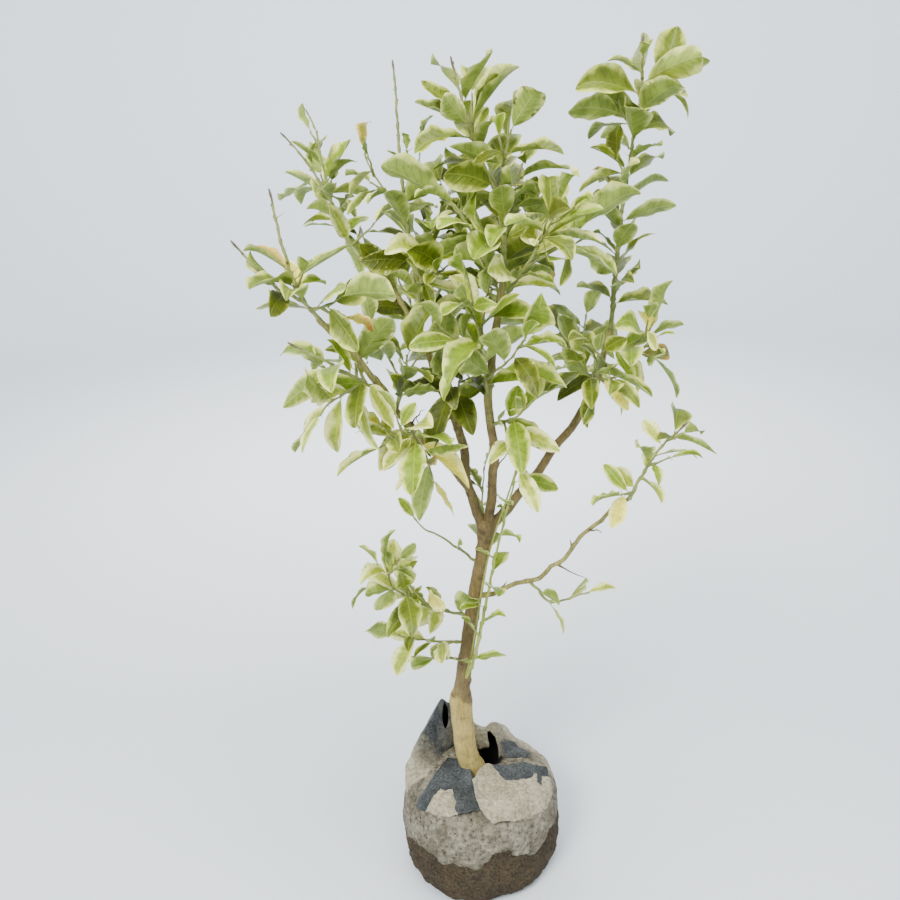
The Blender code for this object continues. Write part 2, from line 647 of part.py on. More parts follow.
def make_root_ball(collection):
    """The full sack: a turned profile with lumps, flat below and level where the trunk stands."""
    mesh = bpy.data.meshes.new("root_ball_profile")
    mesh.from_pydata([(r, 0.0, z) for r, z in BALL_PROFILE],
                     [(k, k + 1) for k in range(len(BALL_PROFILE) - 1)], [])
    ball = bpy.data.objects.new("root_ball", mesh)
    collection.objects.link(ball)
    screw = ball.modifiers.new("turn", "SCREW")
    screw.axis = "Z"
    screw.angle = 2 * math.pi
    screw.steps = BALL_STEPS
    screw.render_steps = BALL_STEPS
    screw.use_merge_vertices = True
    screw.merge_threshold = 0.0001
    apply_modifiers(ball)
    for vert in ball.data.vertices:
        radius = math.hypot(vert.co.x, vert.co.y)
        if radius <= BALL_SEAT_RADIUS:
            continue
        angle = math.atan2(vert.co.y, vert.co.x)
        swell = sum(size * math.sin(waves * angle + start) for waves, size, start in BALL_LUMPS)
        vert.co.x *= 1 + swell
        vert.co.y *= 1 + swell
    triangulate(ball)
    return ball


def smooth_between(rows, place):
    """Values at a place among rows that start with their place, eased between neighbours."""
    for low, high in zip(rows, rows[1:]):
        if place <= high[0]:
            t = (place - low[0]) / (high[0] - low[0])
            ease = t * t * (3 - 2 * t)
            return [a + (b - a) * ease for a, b in zip(low[1:], high[1:])]
    return list(rows[-1][1:])


def top_of(tree, x, y):
    """Height of the ball's upper side over a point."""
    hit = tree.ray_cast(Vector((x, y, BEYOND_BALL)), -UP)
    return hit[0].z if hit[0] else 0.0


def tree_of(item):
    """Search tree of an object's faces."""
    mesh = item.data
    return BVHTree.FromPolygons([v.co.copy() for v in mesh.vertices],
                                [tuple(p.vertices) for p in mesh.polygons])


def solidify(item, thickness):
    """Thicken an open sheet outwards along its normals and apply it."""
    skin = item.modifiers.new("thick", "SOLIDIFY")
    skin.thickness = thickness
    skin.offset = 1.0
    skin.use_even_offset = False
    apply_modifiers(item)
    triangulate(item)


def make_back_wall(collection, ball):
    """The part of the sack that still stands: from the shoulder it leans in to an uneven rim."""
    tree = tree_of(ball)
    first, last = SACK_RIM[0][0], SACK_RIM[-1][0]
    verts, faces = [], []
    for column in range(SACK_WALL_STEPS + 1):
        azimuth = first + (last - first) * column / SACK_WALL_STEPS
        rim_radius, rim_height = smooth_between(SACK_RIM, azimuth)
        across = Vector((math.cos(math.radians(azimuth)), math.sin(math.radians(azimuth)), 0.0))
        hit = tree.ray_cast(UP * SACK_FOOT_HEIGHT + across * BEYOND_BALL, -across)[0]
        foot = hit + across * SACK_LIFT
        rim = across * rim_radius + UP * rim_height
        for row in range(SACK_WALL_ROWS):
            t = row / (SACK_WALL_ROWS - 1)
            bulge = SACK_BULGE * math.sin(math.pi * t)
            point = foot.lerp(rim, t) + across * bulge + UP * (SACK_BULGE_RISE * bulge)
            ground = top_of(tree, point.x, point.y)
            point.z = max(point.z, ground + SACK_LIFT)
            verts.append(point)
    for column in range(SACK_WALL_STEPS):
        for row in range(SACK_WALL_ROWS - 1):
            a = column * SACK_WALL_ROWS + row
            b = a + SACK_WALL_ROWS
            faces.append((a, b, b + 1, a + 1))
    wall = add_solid("sack_back_wall", (verts, faces), collection)
    solidify(wall, SACK_THICKNESS)
    return wall


def make_flap(name, outline, collection, ball):
    """One flap: its outline cut from a level sheet, draped over the ball's shoulder."""
    tree = tree_of(ball)
    sheet = bmesh.new()
    sheet.faces.new([sheet.verts.new((x, y, 0.0)) for x, y in outline])
    for axis, normal in enumerate((Vector((1.0, 0.0, 0.0)), Vector((0.0, 1.0, 0.0)))):
        low = min(point[axis] for point in outline)
        high = max(point[axis] for point in outline)
        for strip in range(1, round((high - low) / FLAP_GRID)):
            everything = list(sheet.verts) + list(sheet.edges) + list(sheet.faces)
            bmesh.ops.bisect_plane(sheet, geom=everything, plane_no=normal,
                                   plane_co=normal * (low + strip * FLAP_GRID))
    bmesh.ops.remove_doubles(sheet, verts=sheet.verts, dist=FLAP_WELD)
    for vert in sheet.verts:
        away = math.hypot(vert.co.x - TRUNK_WAY[1][0], vert.co.y) - FLAP_CREST_START
        crest = FLAP_CREST * max(0.0, 1 - max(0.0, away) / FLAP_CREST_REACH) ** 2
        vert.co.z = top_of(tree, vert.co.x, vert.co.y) + FLAP_LIFT + crest
    bmesh.ops.triangulate(sheet, faces=sheet.faces)
    bmesh.ops.recalc_face_normals(sheet, faces=sheet.faces)
    if sum(face.normal.z for face in sheet.faces) < 0:
        bmesh.ops.reverse_faces(sheet, faces=sheet.faces)
    mesh = bpy.data.meshes.new(name)
    sheet.to_mesh(mesh)
    sheet.free()
    flap = bpy.data.objects.new(name, mesh)
    collection.objects.link(flap)
    solidify(flap, SACK_THICKNESS)
    return flap


def make_ball_and_sack(parts, cutters, paint, trunk_stem):
    """The root ball with its films, which are cut clear of the ball, the trunk and each other."""
    ball = make_root_ball(parts)
    paint_with(ball, paint["dried_mud"])
    wall = make_back_wall(parts, ball)
    flaps = [make_flap(name, outline, parts, ball) for name, outline in FLAPS.items()]
    for film in [wall] + flaps:
        cut_by(film, grown(ball), cutters)
        cut_by(film, sweep(trunk_stem, TRUNK_SIDES, GAP), cutters)
        if film is not wall:
            cut_by(film, grown(wall), cutters)
        keep_largest(film)
        paint_with(film, paint["sack_film"])


def make_limbs(parts, cutters, paint, space):
    """Trunk and boughs; each bough is cut back from its host and from those beside it."""
    stems = {"trunk": Stem(TRUNK_WAY, TRUNK_STEP, trunk_radius)}
    sides = {"trunk": TRUNK_SIDES}
    forked = {"trunk": []}
    shape = sweep(stems["trunk"], TRUNK_SIDES)
    paint_with(add_solid("trunk", shape, parts), paint["bark_brown"])
    space.keep(shape, "trunk")
    for name, (host, way, thick, thin) in BOUGHS.items():
        stems[name] = Stem(way, BOUGH_STEP, taper(thick, thin))
        sides[name] = BOUGH_SIDES
        shape = sweep(stems[name], BOUGH_SIDES)
        bough = add_solid(name, shape, parts)
        for neighbour in [host] + forked.setdefault(host, []):
            cut_by(bough, sweep(stems[neighbour], sides[neighbour], GAP), cutters)
        forked[host].append(name)
        keep_largest(bough)
        paint_with(bough, paint["bark_brown"])
        space.keep(shape, name)
    return stems, sides, forked


def make_foliage(parts, cutters, paint, space, stems, sides, forked):
    """Every mass: its shoots are laid before any leaf grows, so that none is in their way."""
    shoots = {name: lay_shoots(name, stems, space) for name in FOLIAGE}
    shapes = {name: grow_foliage(name, shoots[name], space) for name in FOLIAGE}
    for name, (twigs, leaves) in shapes.items():
        host = FOLIAGE[name][0]
        mass = add_solid(name, twigs[0], parts)
        join(mass, twigs[1:] + leaves)
        for neighbour in [host] + forked.get(host, []):
            cut_by(mass, sweep(stems[neighbour], sides[neighbour], GAP), cutters)
        keep_largest(mass)
        paint_with(mass, paint["leaf_green"])
        print(name, len(twigs), "twigs", len(leaves), "leaves", len(mass.data.polygons), "faces")


def main():
    clear_scene()
    parts = bpy.data.collections.new(OBJECT_NAME)
    cutters = bpy.data.collections.new("cutters")
    bpy.context.scene.collection.children.link(parts)
    bpy.context.scene.collection.children.link(cutters)
    paint = {name: make_material(name) for name in MATERIALS}
    space = Space()
    stems, sides, forked = make_limbs(parts, cutters, paint, space)
    make_ball_and_sack(parts, cutters, paint, stems["trunk"])
    make_foliage(parts, cutters, paint, space, stems, sides, forked)


main()
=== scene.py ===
# %% [markdown]
# # A grafted lemon sapling on its root ball
# The real thing is a young nursery tree: a tan rootstock, a brown scion grafted on it that forks
# into three boughs, and loose shoots of olive and cream leaves. It stands on a ball of earth in a
# plastic sack that was cut open, folded down in front and left standing at the back. The solids
# of the frame say where every limb and leaf is; this script grows the same tree again in detail.

# %% Load the frame
import math
import random

import bmesh
import bpy
from mathutils import Matrix, Vector, noise
from mathutils.bvhtree import BVHTree


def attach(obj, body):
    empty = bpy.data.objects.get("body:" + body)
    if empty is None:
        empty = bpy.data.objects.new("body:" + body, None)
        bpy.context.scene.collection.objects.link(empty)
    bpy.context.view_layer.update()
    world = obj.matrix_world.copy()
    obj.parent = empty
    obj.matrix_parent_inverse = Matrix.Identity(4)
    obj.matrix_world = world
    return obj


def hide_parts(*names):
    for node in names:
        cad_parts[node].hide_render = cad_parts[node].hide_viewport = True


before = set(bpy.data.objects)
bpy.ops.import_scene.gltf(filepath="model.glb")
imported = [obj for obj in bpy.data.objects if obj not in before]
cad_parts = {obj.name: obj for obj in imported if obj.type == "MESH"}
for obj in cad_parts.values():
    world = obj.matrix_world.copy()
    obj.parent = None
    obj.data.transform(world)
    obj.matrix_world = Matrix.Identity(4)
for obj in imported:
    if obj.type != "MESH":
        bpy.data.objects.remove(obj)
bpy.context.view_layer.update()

# %% Small helpers
def link_object(name, data):
    """A new object in the scene."""
    made = bpy.data.objects.new(name, data)
    bpy.context.scene.collection.objects.link(made)
    return made

def circle(count):
    """Angles at even steps round a circle."""
    return [2 * math.pi * index / count for index in range(count)]

def eased(t):
    """A share eased at both ends."""
    return t * t * (3 - 2 * t)

def smoothstep(low, high, value):
    """0 below low, 1 above high, eased between."""
    return eased(min(1.0, max(0.0, (value - low) / (high - low))))

def ring_quads(rows, sides, first=0):
    """Corners of each quad between neighbouring rings: two on one ring, two on the next."""
    for row in range(rows - 1):
        low = first + row * sides
        for index in range(sides):
            nxt = (index + 1) % sides
            yield low + index, low + nxt, low + sides + nxt, low + sides + index

# %% [markdown]
# ## Camera, room and light
# The tree was looked at by somebody standing in front of it, so the camera is held at the height
# of the upper leaves and looks down. The room is one turned surface, a floor that rises into a
# round wall with no corner, like a studio sweep, so no horizon shows behind the leaves.

# %% Camera
CAMERA_PLACE = (-0.0427, -1.1932, 1.345)
CAMERA_PITCH = 21.7
CAMERA_ROLL = 1.5
CAMERA_LENS = 31.2

camera = link_object("camera", bpy.data.cameras.new("camera"))
camera.data.lens = CAMERA_LENS
camera.data.sensor_width = 36.0
camera.matrix_world = (Matrix.Translation(CAMERA_PLACE)
                       @ Matrix.Rotation(math.radians(90 - CAMERA_PITCH), 4, "X")
                       @ Matrix.Rotation(math.radians(-CAMERA_ROLL), 4, "Z"))
bpy.context.scene.camera = camera
print("camera", CAMERA_PLACE, "looking down", CAMERA_PITCH, "degrees")

# %% Room: floor, round corner and wall in one turned profile
ROOM_RADIUS = 6.0
ROOM_CORNER = 1.2
ROOM_HEIGHT = 3.0
ROOM_TURNS = 96
FLOOR_COLOUR = (0.790, 0.840, 0.885)

def room_profile():
    """Radius and height from the middle of the floor to the top of the wall."""
    points = [(0.0, 0.0), (1.0, 0.0), (3.0, 0.0)]
    for step in range(9):
        turn = math.pi / 2 * step / 8
        points.append((ROOM_RADIUS - ROOM_CORNER + ROOM_CORNER * math.sin(turn),
                       ROOM_CORNER * (1 - math.cos(turn))))
    return points + [(ROOM_RADIUS, ROOM_HEIGHT)]

def turned(name, profile, turns):
    """A surface turned round the upright axis from a list of radius and height."""
    verts = [(radius * math.cos(angle), radius * math.sin(angle), height)
             for radius, height in profile[1:] for angle in circle(turns)]
    faces = [(a, d, c, b) for a, b, c, d in ring_quads(len(profile) - 1, turns)]
    mesh = bpy.data.meshes.new(name)
    mesh.from_pydata(verts, [], faces + [tuple(range(turns))])
    mesh.shade_smooth()
    return mesh

room = link_object("room", turned("room", room_profile(), ROOM_TURNS))
room_paint = bpy.data.materials.new("room_paint")
room_paint.use_nodes = True
room_shader = room_paint.node_tree.nodes["Principled BSDF"]
room_shader.inputs["Base Color"].default_value = (*FLOOR_COLOUR, 1)
room_shader.inputs["Roughness"].default_value = 0.9
room.data.materials.append(room_paint)
print("room", ROOM_RADIUS, "m round,", len(room.data.polygons), "faces")

# %% Light: a bright sky, a large soft lamp overhead, one in front and weaker ones beside
SKY_COLOUR = (0.93, 0.965, 1.0)
SKY_STRENGTH = 0.94
LAMPS = {
    "lamp_above": ((0.3, -0.4, 3.4), (0.0, 0.0, 0.8), 1.8, 72),
    "lamp_front": ((-1.3, -2.0, 2.9), (0.0, 0.0, 0.8), 1.1, 122),
    "lamp_side": ((2.3, -0.9, 2.2), (0.0, 0.0, 0.8), 1.8, 14),
    "lamp_back": ((-0.6, 2.4, 2.6), (0.0, 0.0, 0.9), 2.0, 34),
    "lamp_wall": ((0.0, 1.6, 3.0), (0.0, 6.0, 1.3), 2.6, 210),
}

world = bpy.data.worlds.new("sky")
world.use_nodes = True
sky = world.node_tree.nodes["Background"]
sky.inputs["Color"].default_value = (*SKY_COLOUR, 1)
sky.inputs["Strength"].default_value = SKY_STRENGTH
bpy.context.scene.world = world

def add_lamp(name, place, target, size, power):
    """A square area lamp at a place, turned to a target."""
    lamp = link_object(name, bpy.data.lights.new(name, "AREA"))
    lamp.data.size = size
    lamp.data.energy = power
    lamp.location = place
    lamp.rotation_euler = (Vector(target) - Vector(place)).to_track_quat("-Z", "Y").to_euler()

for lamp_name, lamp_values in LAMPS.items():
    add_lamp(lamp_name, *lamp_values)
print("lamps:", ", ".join(LAMPS))

# %% [markdown]
# ## Shader groups that several finishes share
# Bark, leaf, mud and plastic film all need the same few effects: a ragged border between two
# coats, patches that drift from one tint to another, and a fine grain. Each is built once as a
# node group with named inputs, and every material places it with its own values.

# %% Helpers for node trees
def linear(hex_colour):
    """Linear colour of a hex code such as 7f9a45, with alpha."""
    parts = [int(hex_colour[k:k + 2], 16) / 255 for k in (0, 2, 4)]
    return (*[c / 12.92 if c <= 0.04045 else ((c + 0.055) / 1.055) ** 2.4 for c in parts], 1.0)

def set_inputs(tree, node, values):
    """Join inputs of a node to sockets, or set them to values."""
    for key, value in values.items():
        if isinstance(value, bpy.types.NodeSocket):
            tree.links.new(value, node.inputs[key])
        else:
            node.inputs[key].default_value = value

def add_node(tree, kind, values=None, **settings):
    """A node with its settings and inputs."""
    node = tree.nodes.new("ShaderNode" + kind)
    for key, value in settings.items():
        setattr(node, key, value)
    set_inputs(tree, node, values or {})
    return node

def maths(tree, operation, first, second=0.0, third=0.0, clamp=False):
    """Output of a Math node."""
    values = {0: first, 1: second, 2: third}
    return add_node(tree, "Math", values, operation=operation, use_clamp=clamp).outputs[0]

def blend_colours(tree, share, first, second):
    """Output of a colour mix."""
    return add_node(tree, "Mix", {0: share, 6: first, 7: second}, data_type="RGBA").outputs[2]

def noise_at(tree, place, scale, detail=2.0, roughness=0.5, distortion=0.0):
    """Value of a noise texture, about a half on average."""
    values = {"Vector": place, "Scale": scale, "Detail": detail, "Roughness": roughness,
              "Distortion": distortion}
    return add_node(tree, "TexNoise", values).outputs[0]

def spread(tree, value, low, high, top=1.0, kind="SMOOTHSTEP"):
    """A value spread from 0 at low to top at high."""
    values = {"Value": value, "From Min": low, "From Max": high, "To Max": top}
    return add_node(tree, "MapRange", values, interpolation_type=kind).outputs[0]

def squeezed(tree, place, rise):
    """The place with its height scaled, which stretches a pattern along the grain."""
    return add_node(tree, "Mapping", {"Vector": place, "Scale": (1.0, 1.0, rise)}).outputs[0]

def scaled(tree, colour, bright):
    """A colour made darker or lighter."""
    return add_node(tree, "VectorMath", {0: colour, "Scale": bright}, operation="SCALE").outputs[0]

def shader_group(name, inputs, outputs, build):
    """A shader group with named sockets; build gives the values of its outputs in order."""
    tree = bpy.data.node_groups.new(name, "ShaderNodeTree")
    for socket, kind, *value in inputs + [("Place", "Vector")]:
        made = tree.interface.new_socket(socket, in_out="INPUT", socket_type="NodeSocket" + kind)
        if value:
            made.default_value = value[0]
    for socket, kind in outputs:
        tree.interface.new_socket(socket, in_out="OUTPUT", socket_type="NodeSocket" + kind)
    given = tree.nodes.new("NodeGroupInput").outputs
    result = tree.nodes.new("NodeGroupOutput")
    for (socket, _), value in zip(outputs, build(tree, given, given["Place"])):
        tree.links.new(value, result.inputs[socket])

def grouped(tree, name, place, *values):
    """Outputs of a group, its inputs joined or set in their order."""
    node = tree.nodes.new("ShaderNodeGroup")
    node.node_tree = bpy.data.node_groups[name]
    set_inputs(tree, node, {**dict(enumerate(values)), "Place": place})
    return node.outputs

WHITE = (1.0, 1.0, 1.0, 1.0)
GREY = (0.5, 0.5, 0.5, 1.0)

# %% Group: a ragged border
def ragged_border(tree, given, place):
    """Turns a soft share painted on the points into a coat with a broken edge."""
    wander = maths(tree, "SUBTRACT", noise_at(tree, place, given["Size"], 6.0, 0.62), 0.5)
    moved = maths(tree, "ADD", given["Share"], maths(tree, "MULTIPLY", wander, given["Raggedness"]))
    low = maths(tree, "SUBTRACT", 0.5, given["Softness"])
    high = maths(tree, "ADD", 0.5, given["Softness"])
    return [spread(tree, moved, low, high)]

shader_group(
    "ragged_border",
    [("Share", "Float", 0.5), ("Size", "Float", 60.0), ("Raggedness", "Float", 0.5),
     ("Softness", "Float", 0.06)],
    [("Mask", "Float")], ragged_border)

# %% Group: drifting tints
def drifting_tints(tree, given, place):
    """Three tints of one coat that drift into each other, with small specks of the third."""
    share = spread(tree, noise_at(tree, place, given["Size"], 5.0, 0.6), 0.38, 0.64)
    speck = spread(tree, noise_at(tree, place, given["Speck Size"], 3.0, 0.7), 0.54, 0.74)
    base = blend_colours(tree, share, given["Main"], given["Other"])
    amount = maths(tree, "MULTIPLY", speck, given["Speck Share"])
    return [blend_colours(tree, amount, base, given["Specks"])]

shader_group(
    "drifting_tints",
    [("Main", "Color", WHITE), ("Other", "Color", GREY), ("Specks", "Color", GREY),
     ("Size", "Float", 20.0), ("Speck Size", "Float", 300.0), ("Speck Share", "Float", 0.3)],
    [("Color", "Color")], drifting_tints)

# %% Group: grain
def grain(tree, given, place):
    """A height made of broad and fine noise, for the bump of any surface."""
    broad = noise_at(tree, place, given["Broad"], 5.0, 0.6)
    fine = noise_at(tree, place, given["Fine"])
    return [maths(tree, "MULTIPLY_ADD", fine, given["Fine Share"], broad)]

shader_group(
    "grain",
    [("Broad", "Float", 60.0), ("Fine", "Float", 600.0), ("Fine Share", "Float", 0.4)],
    [("Height", "Float")], grain)

# %% Group: gritty mottling
def mottled(tree, given, place):
    """Darkens and lightens a colour by gritty noise of many sizes, with a height to match."""
    grit = noise_at(tree, place, given["Size"], 7.0, 0.78)
    swing = maths(tree, "MULTIPLY", maths(tree, "SUBTRACT", grit, 0.5), given["Depth"])
    bright = maths(tree, "MAXIMUM", maths(tree, "ADD", swing, 1.0), 0.15)
    return [scaled(tree, given["Color"], bright), grit]

shader_group(
    "mottled",
    [("Color", "Color", GREY), ("Size", "Float", 90.0), ("Depth", "Float", 1.0)],
    [("Color", "Color"), ("Height", "Float")], mottled)
print("groups:", ", ".join(group.name for group in bpy.data.node_groups))

# %% Start of every material
def new_material(name, roughness, specular=0.5):
    """A material with its tree, its Principled shader and the place on the object, in metres."""
    material = bpy.data.materials.new(name)
    material.use_nodes = True
    tree = material.node_tree
    shader = tree.nodes["Principled BSDF"]
    shader.inputs["Roughness"].default_value = roughness
    shader.inputs["Specular IOR Level"].default_value = specular
    place = add_node(tree, "TexCoord").outputs["Object"]
    return material, tree, shader, place

def bump(tree, shader, height, strength, depth):
    """Feeds a height through a Bump node into the shader's normal."""
    node = add_node(tree, "Bump", {"Height": height, "Strength": strength, "Distance": depth})
    tree.links.new(node.outputs[0], shader.inputs["Normal"])

def grain_bump(tree, shader, place, broad, fine, fine_share, strength, depth):
    """A bump from the grain alone."""
    height = grouped(tree, "grain", place, broad, fine, fine_share)["Height"]
    bump(tree, shader, height, strength, depth)

def three_tints(tree, place, tints, size, speck_size, speck_share):
    """The colour that drifts between three tints."""
    values = [linear(tint) for tint in tints] + [size, speck_size, speck_share]
    return grouped(tree, "drifting_tints", place, *values)["Color"]

def painted(tree, name):
    """A number kept on the points of the mesh."""
    return add_node(tree, "Attribute", attribute_name=name).outputs["Fac"]

# %% [markdown]
# ## How the tree grows
# Nothing here is placed leaf by leaf. Every limb is a smooth curve through a few way points with
# a radius that changes along it. A shoot takes a seed, and the rule then turns from leaf to leaf
# by two fifths of a circle, as a lemon shoot does, and moves or drops a leaf that would cross
# something. It is the rule that made the solids, so the leaves stand where the solids have them.

# %% Limbs: way points and thickness in metres
GAP = 0.0003
UP = Vector((0.0, 0.0, 1.0))
TRUNK_FOOT = 0.190 + GAP
TRUNK_TOP = 0.742
TRUNK_WAY = [
    (-0.012, 0.000, TRUNK_FOOT), (-0.012, 0.000, 0.197), (-0.026, 0.000, 0.240),
    (-0.034, 0.004, 0.350), (-0.029, 0.004, 0.410), (-0.011, 0.000, 0.550),
    (0.008, 0.000, 0.670), (0.019, 0.000, TRUNK_TOP),
]
ROOTSTOCK_RADIUS = 0.0206
SCION_RADIUS = 0.0146
SCION_TOP_RADIUS = 0.0112
GRAFT_HEIGHT = 0.376
GRAFT_BLEND = 0.012
GRAFT_SWELLING = (0.0014, 0.360, 0.016)
FORK_SWELLING = (0.0052, 0.730, 0.020)
ROOT_FLARE = 0.0140
ROOT_FLARE_HEIGHT = 0.014
TRUNK_SIDES = 10
TRUNK_STEP = 0.026

# Boughs: way points in millimetres from inside the host to the tip, radius at each end
BOUGHS = {
    "left_bough": (
        [(16, 0, 722), (-14, 8, 800), (-22, 28, 876), (-46, 40, 944), (-88, 56, 1060)],
        0.0092, 0.0062),
    "centre_leader": (
        [(19, 0, 720), (30, -8, 860), (20, -20, 962), (31, -30, 1072), (42, -30, 1150)],
        0.0088, 0.0054),
    "right_bough": (
        [(18, 0, 724), (66, 10, 772), (124, 30, 842), (193, 50, 938), (228, 70, 1050)],
        0.0088, 0.0052),
    "left_low_arm": (
        [(-13, 9, 800), (-51, -12, 856), (-112, -50, 942), (-147, -76, 1008), (-190, -100, 1078),
         (-222, -114, 1118)], 0.0066, 0.0040),
    "left_high_arm": (
        [(-83, 54, 1044), (-122, 75, 1112), (-152, 92, 1143), (-184, 110, 1172)], 0.0046, 0.0036),
    "low_right_branch": (
        [(2, 0, 590), (46, -20, 617), (117, -42, 662), (183, -68, 758), (240, -82, 814)],
        0.0044, 0.0032),
}
BOUGH_SIDES = 8
BOUGH_STEP = 0.034
print("limbs: trunk and", len(BOUGHS), "boughs")

# %% Leaves and twigs: sizes and the spread of the draws
LEAF_LENGTH = 0.094
LEAF_WIDTH_SHARE = 0.46
LEAF_THICKNESS_SHARE = 0.020
LEAF_SECTIONS = [(0.36, 1.0), (0.70, 0.80)]
LEAF_FOLD = 0.22
LEAF_MARGIN = 0.0012
LEAF_TURN = math.radians(144)
LEAF_TRIES = [0, 28, -28, 58, -58, 92, -92, 130]
LEAF_START = 0.08
LEAF_STEP = (0.35, 0.85)
LAST_LEAF_AT = 0.97
LEAF_TURN_SPREAD = 0.35
LEAF_LEAN = (36, 74)
LEAF_LEAN_AT_TIP = (4, 24)
LEAF_LENGTH_SPREAD = (0.72, 1.14)
LEAF_DROOP = (0.02, 0.40)
LEAF_TILT = 0.75
LEAF_FACE_UP = 0.35
LEAF_FACE_AHEAD = 0.55
CROWN_LOW = (-0.352, -0.262, 0.400)
CROWN_HIGH = (0.352, 0.285, 1.500)
SHOOT_RADIUS = 0.0025
TWIG_RADIUS = 0.0017
TIP_RADIUS = 0.0011
TWIG_SIDES = 3
SHOOT_STEP = 0.050
SIDE_TWIG_LENGTH = 0.062
SIDE_TWIG_LENGTH_SPREAD = (0.8, 1.2)
SIDE_TWIG_LEAN = (38, 55)
SIDE_TWIG_RISE = 0.15
SIDE_TWIG_PLACES = (0.30, 0.80)
SIDE_TWIG_LEAVES = 3

